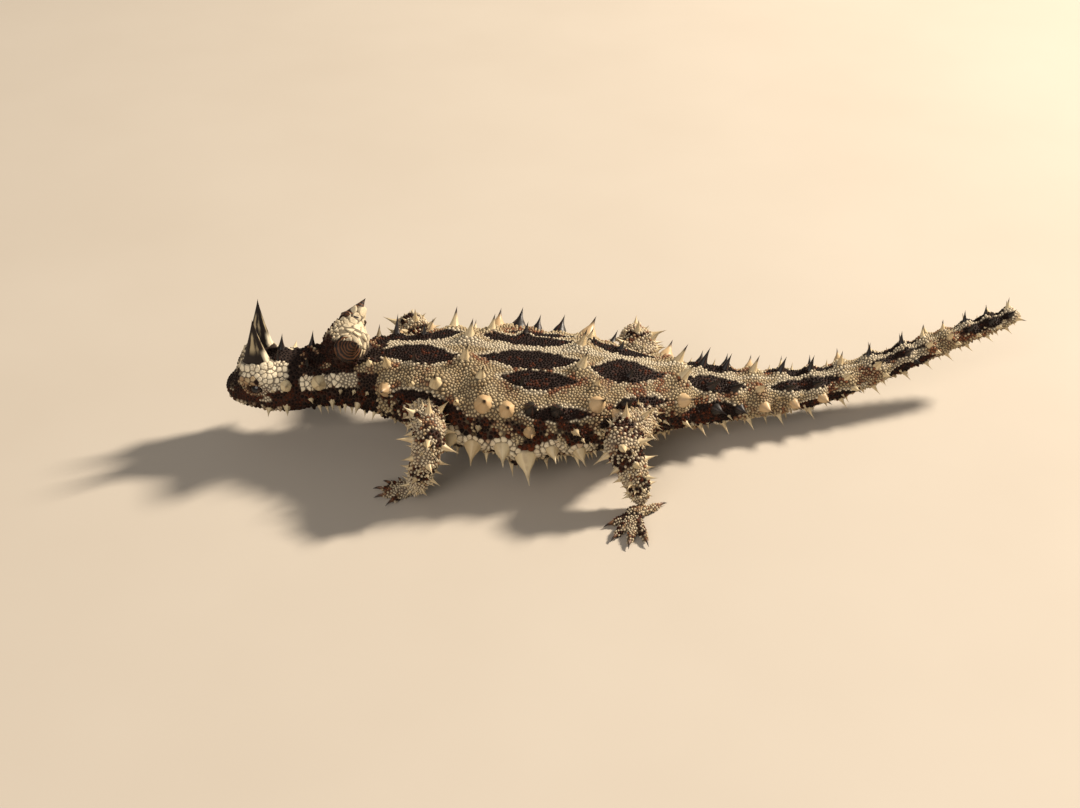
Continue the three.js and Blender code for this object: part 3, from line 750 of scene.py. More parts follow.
def horn_collars(side):
    """The raised skin at the foot of a brow horn and of a horn of the knob."""
    root, axis = brow_horn_place(side)
    heights = np.array([-3.0, -1.0, 0.4, 1.6, 2.4])
    collar = cone_rings(root, axis, heights, [5.6, 5.0, 4.4, 3.9, 3.3], 28, 0, 0.64)
    root, axis = knob_horn_place(side)
    share = np.linspace(-0.2, 0.72, 12)
    radii = KNOB_HORN["radius"] * (1 - np.maximum(share, 0)) - SKIN_DEPTH
    cone = cone_rings(root, axis, share * KNOB_HORN["length"], np.maximum(radii, 0.2), 24, 0.1)
    return [tube(collar), tube(cone)]


def cast_skin():
    """One even surface over all the forms, as points and four-sided faces."""
    points, faces = skin_forms()
    mesh = raw_mesh("skin_forms", points, faces)
    model = bpy.data.objects.new("skin_forms", mesh)
    bpy.context.scene.collection.objects.link(model)
    voxels = model.modifiers.new("voxels", "REMESH")
    voxels.mode = "VOXEL"
    voxels.voxel_size = SKIN_GRAIN
    relaxed = model.modifiers.new("relaxed", "SMOOTH")
    relaxed.factor = 0.5
    relaxed.iterations = 5
    cast = model.evaluated_get(bpy.context.evaluated_depsgraph_get()).to_mesh()
    points = np.empty(len(cast.vertices) * 3)
    cast.vertices.foreach_get("co", points)
    faces = np.empty(len(cast.loops), int)
    cast.loops.foreach_get("vertex_index", faces)
    bpy.data.objects.remove(model)
    bpy.data.meshes.remove(mesh)
    return points.reshape(-1, 3), faces.reshape(-1, 4)


def normals_of(points, faces):
    a, b, c, d = (points[faces[:, i]] for i in range(4))
    flat = np.cross(c - a, d - b)
    total = np.zeros_like(points)
    for i in range(4):
        np.add.at(total, faces[:, i], flat)
    return unit(total)


def shape_skin(points, faces, spines):
    """Raises the skin at the foot of each spine, and sinks it at the eyes, nostrils and mouth."""
    normals = normals_of(points, faces)
    tree = tree_of(points)
    lift = np.zeros_like(points)
    for spine in spines:
        reach = FLARE["reach"] * spine.radius
        found = [(i, apart) for _, i, apart in tree.find_range(spine.root, reach)]
        if not found:
            continue
        index = np.array([i for i, _ in found])
        arm = points[index] - spine.root
        flat = np.linalg.norm(arm - dot(arm, spine.axis)[:, None] * spine.axis, axis=1)
        rise = FLARE["rise"] * spine.radius * np.clip(1 - flat / reach, 0, 1) ** 1.8
        facing = np.clip(normals[index] @ spine.axis, 0, 1)
        lift[index] += (rise * facing)[:, None] * spine.axis
    points = points + lift
    for side in SIDES.values():
        facing = eye_place(side)[1]
        spread, ahead = eye_spread(points, side)
        socket = (spread < 1.4) & (ahead > 0) & (ahead < 3)
        points[socket] -= np.outer(0.9 * (1 - ease(1.1, 1.4, spread[socket])), facing)
        hole = np.linalg.norm(points - nostril_place(side), axis=1)
        points -= normals * (0.6 * (1 - ease(0.3, 0.75, hole)))[:, None]
    x = points[:, 0]
    line = np.abs(points[:, 2] - MOUTH_HEIGHT)
    mouth = (1 - ease(0.15, 0.55, line)) * (1 - ease(MOUTH_CORNER - 0.8, MOUTH_CORNER, x))
    points = points - normals * (0.75 * mouth)[:, None]
    points[:, 2] = np.maximum(points[:, 2], FLOOR_CLEARANCE)
    return points


# Markings

class Markings:
    """The shares of dark, rust and cream in the skin's colour at each point. u and around are the
    places along and round the body, coarse, fine and tiny are noise of three grains."""

    def __init__(self, points, region, u, angle, depth, facing):
        self.points = points
        self.region = region
        self.u = u
        self.angle = angle
        self.depth = depth
        self.facing = facing
        self.coarse = mottle(points, 2.4, 1)
        self.fine = mottle(points, 1.0, 2)
        self.tiny = mottle(points, 0.55, 3)
        self.trunk = region == 0
        turn = MARKINGS_TURN * ease(-62, -54, u) * (1 - ease(30, 55, np.abs(angle)))
        self.around = np.abs(angle + np.where(self.trunk, turn, 0))
        self.width = np.interp(u, STATIONS[:, 0], STATIONS[:, 3])
        self.blotches()
        self.flanks()
        self.belly()
        self.neck()
        self.head()
        self.legs()

    def shares(self):
        return np.clip(np.stack([self.dark, self.rust, self.cream], axis=1), 0, 1)

    def paint(self, here, dark, rust, cream):
        """Sets the three shares at some of the points."""
        self.dark = np.where(here, dark, self.dark)
        self.rust = np.where(here, rust, self.rust)
        self.cream = np.where(here, cream, self.cream)

    def blotches(self):
        """Dark lenses in rows, with rust and cream round them, and a pale line down the back."""
        inside = np.full(len(self.u), -9.0)
        for x0, x1, low, high in BLOTCHES:
            t = (self.u - (x0 + x1) / 2) / ((x1 - x0) / 2)
            v = (self.around - (low + high) / 2) / ((high - low) / 2)
            reach = (high - low) / 2 * math.pi / 180 * self.width
            inside = np.maximum(inside, (1 - t**2 - np.abs(v)) * 0.8 * reach)
        self.dark = ease(-0.14, 0.1, inside + 0.22 * self.fine + 0.12 * self.tiny)
        off = 1 - self.dark
        rim = ease(-2.9, -0.6, inside + 0.6 * self.coarse) * off * ease(8, 16, self.around)
        rim = rim * ease(-0.06, 0.32, self.coarse + 0.4 * self.fine)
        flecks = ease(0.15, 0.5, self.fine + 0.4 * self.tiny) * ease(0.3, 0.9, inside)
        self.rust = np.maximum(rim, 0.7 * self.dark * flecks * ease(6, 14, self.around))
        border = ease(-1.0, -0.35, inside) * off
        midline = (1 - ease(2.8, 4.8, self.around)) * ease(-57, -53, self.u)
        self.cream = np.maximum(0.9 * border * (1 - 0.8 * self.rust), midline)

    def flanks(self):
        """Dark flanks with rust specks, fainter on the tail, and plates round the large spines."""
        flank = ease(60, 76, self.around + 6 * self.coarse) * (1 - ease(116, 128, self.around))
        flank = flank * ease(-57, -52, self.u)
        on_tail = ease(13, 20, self.u)
        patches = ease(-0.25, 0.15, 0.8 * self.coarse + 0.5 * self.fine + 0.15)
        self.dark = np.maximum(self.dark, flank * patches * (0.75 - 0.55 * on_tail))
        specks = flank * ease(-0.15, 0.3, self.fine)
        self.rust = np.maximum(self.rust, specks * (0.8 - 0.35 * on_tail))
        for x, angle, _, radius in TORSO_SPINES:
            if plated(angle, radius):
                apart = np.hypot(self.u - x, (self.around - angle) * math.pi / 180 * self.width)
                plates = 1 - ease(3.0, 4.2, apart + 0.6 * self.coarse)
                self.dark = self.dark * (1 - plates)
                self.rust = self.rust * (1 - 0.8 * plates)
                self.cream = np.maximum(self.cream, 0.7 * plates)

    def belly(self):
        """Uneven dark patches along the underside."""
        below = ease(114, 128, self.around + 6 * self.coarse) > 0.5
        stripes = ease(-0.1, 0.25, mottle(self.points * [0.5, 1, 1], 2.6, 5))
        self.paint(below, 0.8 * stripes, 0.5 * ease(0, 0.4, self.fine), self.cream)

    def neck(self):
        """A dark nape, a cream band along each side, and the knob, with painted light and shade: pale on its
        faces turned inwards, up and back, dark on those turned outwards, down and forwards.
        """
        ragged_u = self.u + 1.1 * self.coarse + 0.5 * self.fine
        neck = self.trunk & (self.u > HEAD_END) & (ragged_u < NECK_END)
        band = ease(49, 54, self.around + 4 * self.fine)
        band = band * (1 - ease(72, 80, self.around + 5 * self.fine))
        band = band * (1 - ease(-60.0, -58.8, self.u + 0.7 * self.fine))
        rust = ease(-0.1, 0.4, self.fine) * 0.6 * (1 - band)
        self.paint(neck, 0.85 * (1 - band), rust, band)
        shoulder = ease(-61, -59, ragged_u) * ease(34, 40, self.around)
        nape = (0.9 - 0.5 * ease(0.2, 0.6, self.fine)) * (1 - shoulder)
        self.dark = np.where(neck & (self.around < 50), nape, self.dark)
        # Painted light and shade on the knob: how far each face turns inwards, up and towards the tail sets
        # how pale it is.
        inward = np.sign(self.angle) * self.facing[:, 1]
        inner = ease(-0.35, 0.15, inward + 0.35 * self.facing[:, 2] + 0.35 * self.facing[:, 0])
        knob = neck & (self.depth > KNOB_START)
        self.paint(knob, 0.92 * (1 - inner), 0.25 * (1 - inner), 0.55 * inner)

    def head(self):
        """Dark, with a cream band over the brow and a lobe behind the eye, pale lips, and rust on
        the muzzle, the lids and the brow's lower edge."""
        rear = 1 - ease(-75.2, -74.6, self.u + 0.4 * self.fine)
        band = ease(-86.4, -85.2, self.u + 0.6 * self.fine) * rear
        band = band * ease(14, 17, self.around + 2 * self.fine) * (1 - ease(43, 46, self.around))
        lobe = ease(-82.4, -81.2, self.u + 0.5 * self.fine) * rear
        lobe = lobe * ease(43, 45, self.around) * (1 - ease(68, 74, self.around + 5 * self.fine))
        slit = ease(-78.6, -77.8, self.u) * (1 - ease(1.2, 2.4, np.abs(self.around - 45)))
        brow = np.maximum(band, lobe) * (1 - slit)
        fringe = within(-87, -86, -82.6, -81.6, self.u) * within(40, 43, 52, 56, self.around)
        lid_corner = np.hypot(self.u + 81.0, (self.around - 70) / 9) < 0.9
        specks = ease(0.45, 0.6, self.coarse + 0.4 * self.fine) * ease(78, 84, self.around)
        patch = within(-88.4, -87.6, -85.4, -84.6, self.u)
        patch = patch * (1 - ease(20, 26, self.around + 4 * self.fine))
        off_line = np.abs(self.points[:, 2] - MOUTH_HEIGHT)
        lips = within(0.25, 0.4, 1.0, 1.3, off_line) * (1 - ease(-77.4, -76.6, self.u))
        lips = lips * ease(60, 70, self.around) * (0.35 + 0.4 * ease(-0.3, 0.3, self.fine))
        nostrils = np.zeros(len(self.u))
        lids = np.zeros(len(self.u))
        for side in SIDES.values():
            apart = np.linalg.norm(self.points - nostril_place(side), axis=1)
            nostrils = np.maximum(nostrils, 1 - ease(0.9, 1.2, apart))
            spread, ahead = eye_spread(self.points, side)
            lids = np.maximum(lids, (1 - ease(2.3, 2.8, spread)) * (ahead > 0))
        pale = [brow, 0.9 * specks, 0.75 * lid_corner, 0.55 * patch, 0.4 * nostrils, 0.8 * lips]
        pale = np.max(pale, axis=0)
        muzzle = ease(50, 60, self.around) * (0.35 + 0.3 * ease(-0.2, 0.4, self.coarse))
        rust = np.max([0.45 * fringe, muzzle * (1 - pale), 0.6 * lips, 0.6 * lids], axis=0)
        dark = np.clip(0.95 - pale - 0.8 * fringe - 0.5 * lids, 0, 1)
        self.paint(self.trunk & (self.u <= HEAD_END), dark, rust, pale * (1 - fringe))

    def legs(self):
        """Uneven dark bands across the legs, and patches on the feet."""
        noise = 0.9 * self.coarse + 0.5 * self.fine
        bands = np.sin(2 * math.pi * (self.u * 1.7 + 0.13 * self.region)) + noise
        on_foot = self.region > len(LIMBS)
        bands = np.where(on_foot, 1.4 * self.coarse + 0.5 * self.fine, bands)
        rust = 0.25 + 0.6 * ease(-0.1, 0.5, self.fine)
        self.paint(self.region > 0, 0.8 * ease(0.0, 0.5, bands), rust, 0.6 * ease(0.2, 0.7, -bands))


# Bake map: an island for the trunk above, and one for each limb and foot in a row below

TRUNK_ISLAND = (0.02, 0.98, 0.30, 0.98)
ROW_ISLANDS = (0.02, 0.27)
ISLAND_HALF = 0.46  # half the width of an island in the row, as a share of its cell
FOOT_REACH = 11  # from a palm's middle to the edge of its island
PATCH = 0.0015  # radius of a scale's patch on the map


def island_places(region, u, angle, facing):
    """Places on the bake map."""
    left, right, low, high = TRUNK_ISLAND
    bottom, top = ROW_ISLANDS
    cell = (right - left) / (len(REGIONS) - 1)
    middle = left + cell * (region - 0.5)
    limb = (region > 0) & (region <= len(LIMBS))
    foot = region > len(LIMBS)
    a = left + (right - left) * (u - SNOUT + 1) / (TAIL_TIP - SNOUT + 2)
    a = np.where(limb, middle + cell * ISLAND_HALF * np.clip((u - 0.5) / 0.8, -1, 1), a)
    a = np.where(foot, middle + cell * ISLAND_HALF * np.clip(u / FOOT_REACH, -1, 1), a)
    turn = (angle + 180) / 360
    half = (top - bottom) / 2
    sole = np.where(facing[:, 2] > 0, 0.0, half)
    across_foot = 0.5 + ISLAND_HALF * np.clip(angle / FOOT_REACH, -1, 1)
    b = low + (high - low) * turn
    b = np.where(limb, bottom + (top - bottom) * turn, b)
    b = np.where(foot, bottom + sole + half * across_foot, b)
    return np.stack([a, b], axis=1)


# Meshes

def raw_mesh(name, points, faces):
    """A mesh from points and faces of one number of sides, in the units of the points."""
    mesh = bpy.data.meshes.new(name)
    mesh.vertices.add(len(points))
    mesh.vertices.foreach_set("co", np.asarray(points, np.float32).ravel())
    mesh.loops.add(faces.size)
    mesh.loops.foreach_set("vertex_index", np.asarray(faces, np.int32).ravel())
    mesh.polygons.add(len(faces))
    mesh.polygons.foreach_set("loop_start", np.arange(0, faces.size, faces.shape[1], dtype=np.int32))
    mesh.update(calc_edges=True)
    return mesh


def frame_shift():
    """From the shapes' own origin to the frame's, found from the left eye's place in the frame."""
    low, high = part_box("eye_left")
    return (np.array(low) + np.array(high)) / 2 / MM - eye_place(1)[0]


SHIFT = frame_shift()


def piece(name, points, faces, material, replaces=(), values=None, places=None):
    """A shown piece on the root body. values are numbers for each point by name, and places are
    each face corner's place on the bake map."""
    mesh = raw_mesh(name, (points + SHIFT) * MM, faces)
    mesh.polygons.foreach_set("use_smooth", np.ones(len(faces), bool))
    for key, numbers in (values or {}).items():
        attribute = mesh.attributes.new(key, "FLOAT", "POINT")
        attribute.data.foreach_set("value", np.asarray(numbers, np.float32))
    if places is not None:
        layer = mesh.uv_layers.new(name="OFBake", do_init=False)
        layer.data.foreach_set("uv", np.asarray(places, np.float32).ravel())
    mesh.materials.append(material)
    shown = bpy.data.objects.new(name, mesh)
    bpy.context.scene.collection.objects.link(shown)
    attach(shown, "root")
    if replaces:
        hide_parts(*replaces)
    return shown


# Scales

# Rings of scales round an eye's opening and round a nostril: reach, how many, and their size
EYE_RINGS = [(1.72, 18, 0.56), (2.35, 17, 0.8)]
NOSTRIL_RING = (0.85, 7, 0.62)
LIP_SCALES = {"size": 1.0, "pitch": 0.98, "off_line": 0.58}
SOLE_HEIGHT = 0.25  # below this height the skin has no scales
MOST_FACES = 190000  # of one piece


def on_knob(region, u, depth):
    """Which points are on the knob of the neck."""
    return (region == 0) & (u > HEAD_END) & (u < NECK_END) & (depth > KNOB_START)


def ring_places(middle, axis, reach, count, wide=1.0, tall=1.0):
    """Places on a ring, or on an oval, round an axis."""
    a, b = across(axis)
    c, s = circle(count)
    return list(middle + reach * (wide * c[:, None] * a + tall * s[:, None] * b))


def ring_round(spine):
    """The radius of the ring of scales round a spine's foot, and how many there are."""
    reach = SPINE_FOOT * spine.radius + 0.4 * spine.ring
    return reach, max(6, round(2 * math.pi * reach / spine.ring))


class Coat:
    """Places for scales on the skin: where each stands, how it faces, its size and which way
    its point leans."""

    def __init__(self, skin_points, skin_faces, spines):
        self.rng = np.random.default_rng(11)
        self.spines = spines
        self.tree = bvhtree.BVHTree.FromPolygons(skin_points.tolist(), skin_faces.tolist())
        self.normals = normals_of(skin_points, skin_faces)
        self.points, self.facing = self.scatter(skin_points, skin_faces)
        self.near = tree_of(self.points)
        self.region, self.u, self.angle, self.depth = regions_of(self.points)
        self.size = self.sizes()
        self.lean = self.lie()
        self.pick()

    def scatter(self, points, faces):
        """Random places all over the skin, after the places that are set one by one."""
        triangles = np.concatenate([faces[:, [0, 1, 2]], faces[:, [0, 2, 3]]])
        corners = points[triangles]
        area = np.linalg.norm(np.cross(corners[:, 1] - corners[:, 0], corners[:, 2] - corners[:, 0]), axis=1)
        count = 300000
        chosen = self.rng.choice(len(triangles), count, p=area / area.sum())
        share = self.rng.random((count, 2))
        share = np.where(share.sum(axis=1, keepdims=True) > 1, 1 - share, share)
        weights = np.column_stack([1 - share.sum(axis=1), share])
        places = np.einsum("ij,ijk->ik", weights, corners[chosen])
        facing = unit(np.einsum("ij,ijk->ik", weights, self.normals[triangles[chosen]]))
        set_places, set_facing = self.set_by_hand()
        self.hand_count = len(set_places)
        return np.concatenate([set_places, places]), np.concatenate([set_facing, facing])

    def set_by_hand(self):
        """Rings of scales round the spines, eyes and nostrils, and rows of them along the lips."""
        wanted, sizes = [], []
        for spine in self.spines:
            reach, count = ring_round(spine)
            wanted += ring_places(spine.root, spine.axis, reach, count)
            sizes += [spine.ring] * count
        for side in SIDES.values():
            centre, facing = eye_place(side)
            middle = centre + facing * EYE["radius"]
            for reach, count, size in EYE_RINGS:
                wanted += ring_places(middle, facing, reach, count, EYE["wide"], EYE["tall"])
                sizes += [size] * count
            reach, count, size = NOSTRIL_RING
            facing = TRUNK.normal(NOSTRIL["x"], side * NOSTRIL["angle"])
            wanted += ring_places(nostril_place(side), facing, reach, count)
            sizes += [size] * count
            for row in (-1, 1):
                lip = lip_places(side, row)
                wanted += lip
                sizes += [LIP_SCALES["size"]] * len(lip)
        self.hand_sizes = np.array(sizes)
        found = [self.tree.find_nearest(Vector(place)) for place in wanted]
        return np.array([hit for hit, *_ in found]), np.array([normal for _, normal, *_ in found])

    def sizes(self):
        """The size of a scale at each place."""
        around = np.abs(self.angle)
        size = 0.6 + 0.2 * ease(55, 95, around) + 0.15 * ease(110, 130, around)
        size *= 1 - 0.16 * ease(15, 80, self.u)
        head = self.u < HEAD_END
        size = np.where(head, 0.72 + 0.25 * mottle(self.points, 3.0, 8), size)
        brow = head & (around > 15) & (around < 66) & (self.u > -86) & (self.u < -74.6)
        size = np.where(brow, 1.1, size)
        band = (self.region == 0) & ~head & (self.u < -64) & (around > 50) & (around < 76)
        size = np.where(band, 1.15, size)
        inner = ease(-0.3, 0.2, np.sign(self.angle) * self.facing[:, 1] + 0.35 * self.facing[:, 0])
        size = np.where(on_knob(self.region, self.u, self.depth), 0.9 + 0.85 * inner, size)
        size = np.where(self.region > 0, 0.72, size)
        size = np.where(self.region > len(LIMBS), 0.52, size)
        for spine in self.spines:
            spread = 2.6 * spine.ring
            for _, i, apart in self.near.find_range(spine.root, spine.radius + spread):
                share = 1 - max(apart - spine.radius, 0) / spread
                size[i] = max(size[i], spine.ring * share)
        size[: self.hand_count] = np.maximum(self.hand_sizes, 0.5)
        return size

    def lie(self):
        """The way each scale's point leans: back along the body, or up a spine's foot."""
        lean = np.zeros_like(self.points)
        trunk = self.region == 0
        lean[trunk] = TRUNK.along(self.u[trunk])
        for number, region in enumerate(REGIONS.values()):
            here = self.region == number
            if isinstance(region, Limb):
                lean[here] = region.along(self.u[here])
            if isinstance(region, Foot):
                lean[here] = unit(self.points[here] - region.centre)
        knob = on_knob(self.region, self.u, self.depth)
        for side in SIDES.values():
            _, axis = knob_horn_place(side)
            lean[knob & (np.sign(self.angle) == side)] = axis
        for spine in self.spines:
            for _, i, _ in self.near.find_range(spine.root, spine.radius + 1.3 * spine.ring):
                lean[i] = spine.root + spine.axis * spine.radius - self.points[i]
        lean -= dot(lean, self.facing)[:, None] * self.facing
        return unit(lean)

    def bare(self):
        """The places that stay without scales."""
        points = self.points
        bare = points[:, 2] < SOLE_HEIGHT
        for spine in self.spines:
            for _, i, _ in self.near.find_range(spine.root, spine.radius):
                arm = points[i] - spine.root
                flat = np.linalg.norm(arm - (arm @ spine.axis) * spine.axis)
                bare[i] |= flat < 0.9 * SPINE_FOOT * spine.radius
        for side in SIDES.values():
            spread, ahead = eye_spread(points, side)
            bare |= (spread < 1.5) & (ahead > 0) & (ahead < 3)
            bare |= np.linalg.norm(points - nostril_place(side), axis=1) < 0.6
            root, axis = brow_horn_place(side)
            a, b = across(axis)
            arm = points - root
            flat = np.hypot(arm @ a / BROW_HORN["flatness"], arm @ b)
            bare |= (flat < BROW_HORN["radius"]) & (arm @ axis > -3)
            root, axis = knob_horn_place(side)
            arm = points - root
            ahead = arm @ axis
            flat = np.linalg.norm(arm - np.outer(ahead, axis), axis=1)
            bare |= (ahead > 0.58 * KNOB_HORN["length"]) & (flat < 2.2)
        lips = (np.abs(points[:, 2] - MOUTH_HEIGHT) < 0.95) & (points[:, 0] < MOUTH_CORNER)
        bare |= lips & (self.region == 0)
        bare[: self.hand_count] = points[: self.hand_count, 2] < SOLE_HEIGHT
        return bare

    def pick(self):
        """Keeps scales that don't crowd each other: those set one by one first, then at random."""
        open_places = ~self.bare()
        order = np.concatenate([
            np.arange(self.hand_count),
            self.hand_count + self.rng.permutation(len(self.points) - self.hand_count),
        ])
        kept = []
        for i in order:
            if not open_places[i]:
                continue
            kept.append(i)
            crowd = 0.62 if i < self.hand_count else 0.88
            for _, j, _ in self.near.find_range(self.points[i], crowd * self.size[i]):
                open_places[j] = False
        kept = np.array(kept)
        for key in ("points", "facing", "region", "u", "angle", "depth", "size", "lean"):
            setattr(self, key, getattr(self, key)[kept])
        self.by_hand = kept < self.hand_count
        self.wander = self.rng.random((len(kept), 3))


def lip_places(side, row):
    """Places along one side of the mouth, above it for row 1 and below it for row -1."""
    x = np.arange(SNOUT + 0.4, MOUTH_CORNER + 0.4, LIP_SCALES["pitch"])
    angles = np.linspace(40, 150, 221)
    places = []
    for one in x:
        around = TRUNK.at(np.full(len(angles), one), side * angles)
        nearest = np.abs(around[:, 2] - MOUTH_HEIGHT - LIP_SCALES["off_line"] * row).argmin()
        places.append(around[nearest])
    return places


def cell_edges(coat, sides, most):
    """How far each scale reaches in each direction before it meets its neighbours, and at most
    a share of its size."""
    neighbours = 14
    tree = tree_of(coat.points)
    found = [tree.find_n(point, neighbours + 1)[1:] for point in coat.points]
    index = np.array([[j for _, j, _ in near] for near in found])
    a = coat.lean
    b = np.cross(coat.facing, a)
    arm = coat.points[index] - coat.points[:, None]
    apart = np.linalg.norm(arm, axis=2)
    turn = np.arctan2(np.einsum("ijk,ik->ij", arm, b), np.einsum("ijk,ik->ij", arm, a))
    weight = coat.size[:, None] / (coat.size[:, None] + coat.size[index])
    middle = apart * np.clip(weight, 0.3, 0.7)
    ways = np.arange(sides) * 2 * math.pi / sides
    reach = np.repeat((most * coat.size)[:, None], sides, axis=1)
    for k, way in enumerate(ways):
        slant = np.cos(turn - way)
        limit = np.where(slant > 0.2, middle / np.maximum(slant, 0.2), np.inf)
        reach[:, k] = np.minimum(reach[:, k], limit.min(axis=1))
    return np.maximum(reach, 0.2 * coat.size[:, None]), a, b, ways


SMALL_SCALE = {"sides": 8, "levels": [(1.0, -0.3, 0.0), (0.74, 0.24, 0.7)]}
LARGE_SCALE = {"sides": 12, "levels": [(1.0, -0.3, 0.0), (0.93, 0.08, 0.45), (0.6, 0.24, 0.9)]}


def scale_heights(coat, plates):
    """The height of each scale as a share of its size: low on the head and belly, flat for plates,
    full on the lips, and pointed for a few here and there."""
    around = np.abs(coat.angle)
    height = 0.4 + 0.16 * coat.wander[:, 0]
    height = np.where(around > 120, 0.28, height)
    height = np.where((coat.region == 0) & (coat.u < HEAD_END), 0.26, height)
    height = np.where(plates, 0.1, height)
    off_line = np.abs(coat.points[:, 2] - MOUTH_HEIGHT)
    lips = coat.by_hand & (off_line < 1.2) & (coat.points[:, 0] < MOUTH_CORNER)
    height = np.where(lips, 0.42, height)
    thorny = (coat.wander[:, 1] > 0.94) & (coat.size < 1) & ~coat.by_hand
    thorny &= (around > 60) | (coat.region > 0)
    thorny &= (coat.u > HEAD_END) | (coat.region > 0)
    return np.where(thorny, 0.9 + 0.5 * coat.wander[:, 0], height)


def scale_pieces(coat, material):
    """Domed, many-sided scales, each reaching almost to the next."""
    marks = Markings(coat.points, coat.region, coat.u, coat.angle, coat.depth, coat.facing)
    marks = scale_by_scale(coat, marks.shares())
    plates = ((coat.size > 1.05) & (np.abs(coat.angle) < 80)) | (coat.size > 1.4)
    height = scale_heights(coat, plates)
    gap = np.where(plates, 0.0, 0.04)
    # Plates get a higher crown at their rim, so the shade painted between them is thinner and fainter.
    rim = np.where(plates, 0.5, 0.0)
    knob = on_knob(coat.region, coat.u, coat.depth)
    reach_out = np.where(knob, 0.34, 0.16)
    tilt = np.where(knob, 0.3, 0.06)
    names = group_names(coat)
    large = coat.size >= 1.02
    for label, form, chosen in (("fine", SMALL_SCALE, ~large), ("large", LARGE_SCALE, large)):
        sides = form["sides"]
        reach, a, b, ways = cell_edges(coat, sides, np.where(plates, 1.1, 0.7))
        reach = 0.99 * reach - 0.02 - gap[:, None] * coat.size[:, None]
        levels = form["levels"]
        per_scale = sides * len(levels) + 1
        arm = np.cos(ways)[None, :, None] * a[:, None] + np.sin(ways)[None, :, None] * b[:, None]
        rings, crowns = [], []
        for share, rise, crown in levels:
            slide = (1 - share) * reach_out * coat.size
            out = arm * (share * reach)[..., None] + slide[:, None, None] * coat.lean[:, None]
            lift = rise * coat.size * np.where(rise > 0, height / 0.4, 1)
            along = np.einsum("ijk,ik->ij", out, coat.lean)
            lift = lift[:, None] + (tilt[:, None] * along if rise > 0 else 0)
            rings.append(coat.points[:, None] + out + lift[..., None] * coat.facing[:, None])
            # crown is 0 at a scale's sunk rim and 1 at its top; the scale material paints shade on the rim
            # from it.
            crowns.append(np.repeat(crown + (1 - crown) * rim[:, None], sides, axis=1))
        apex = coat.points + (height * coat.size)[:, None] * coat.facing
        apex = apex + (reach_out * coat.size)[:, None] * coat.lean
        shape = np.concatenate([*rings, apex[:, None]], axis=1)
        shape[..., 2] = np.maximum(shape[..., 2], FLOOR_CLEARANCE)
        crowns = np.concatenate([*crowns, np.ones((len(rim), 1))], axis=1)
        faces = dome_faces(sides, len(levels))
        most = MOST_FACES // len(faces)
        places = patch_places(coat, levels, ways)
        for name in sorted(set(names)):
            here = np.flatnonzero(chosen & (names == name))
            here = here[np.argsort(coat.u[here], kind="stable")]
            for part, start in enumerate(range(0, len(here), most)):
                some = here[start:start + most]
                numbers = {
                    "dark": marks[some, 0],
                    "rust": marks[some, 1],
                    "cream": marks[some, 2],
                    "shade": coat.wander[some, 2],
                }
                values = {key: np.repeat(value, per_scale) for key, value in numbers.items()}
                values["crown"] = crowns[some].ravel()
                firsts = np.arange(len(some)) * per_scale
                index = (faces[None] + firsts[:, None, None]).reshape(-1, 3)
                uv = places[some].reshape(-1, 2)[index.ravel()]
                piece(f"{name}_{label}_scales_{part + 1}", shape[some].reshape(-1, 3), index,
                      material, values=values, places=uv)


def scale_by_scale(coat, marks):
    """The markings with one tone for each scale, so that a patch ends between scales."""
    dark, rust, cream = marks.T
    dark = ease(0.4, 0.6, dark + 0.2 * (coat.wander[:, 2] - 0.5))
    leg = coat.region > 0
    speck = ease(0.55, 0.62, coat.wander[:, 1])
    dark = np.where(leg, dark * (1 - 0.9 * speck), dark)
    cream = np.where(leg, np.maximum(cream, 0.6 * speck), cream)
    rust = np.where(leg, rust * (1 - speck), rust)
    rust = rust * ease(0.15, 0.6, coat.wander[:, 0])
    return np.stack([dark, rust, cream], axis=1)


def dome_faces(sides, rings):
    """The triangles of rings of points that close in a last point."""
    j = np.arange(sides)
    k = (j + 1) % sides
    faces = []
    for row in range(rings - 1):
        low, high = row * sides, (row + 1) * sides
        faces.append(np.stack([low + j, low + k, high + k], axis=1))
        faces.append(np.stack([low + j, high + k, high + j], axis=1))
    top = (rings - 1) * sides
    faces.append(np.stack([top + j, top + k, np.full(sides, rings * sides)], axis=1))
    return np.concatenate(faces)


def patch_places(coat, levels, ways):
    """Each scale's own small patch of the bake map, at its root's place."""
    root = island_places(coat.region, coat.u, coat.angle, coat.facing)
    ring = np.stack([np.cos(ways), np.sin(ways)], axis=1)
    spread = np.concatenate([ring * PATCH * share for share, _, _ in levels] + [np.zeros((1, 2))])
    return root[:, None] + spread[None]


def group_names(coat):
    """The piece that each scale goes to."""
    names = np.array(list(REGIONS))[coat.region].astype(object)
    for i, name in enumerate(REGIONS):
        if i > 0:
            names[coat.region == i] = name.rsplit("_", 1)[0]
    trunk = coat.region == 0
    names[trunk] = "torso"
    names[trunk & (coat.u < NECK_END)] = "neck"
    names[trunk & (coat.u < HEAD_END)] = "head"
    names[trunk & (coat.u > TORSO_END)] = "tail"
    return names


# Skin, spines, horns, claws and eyes

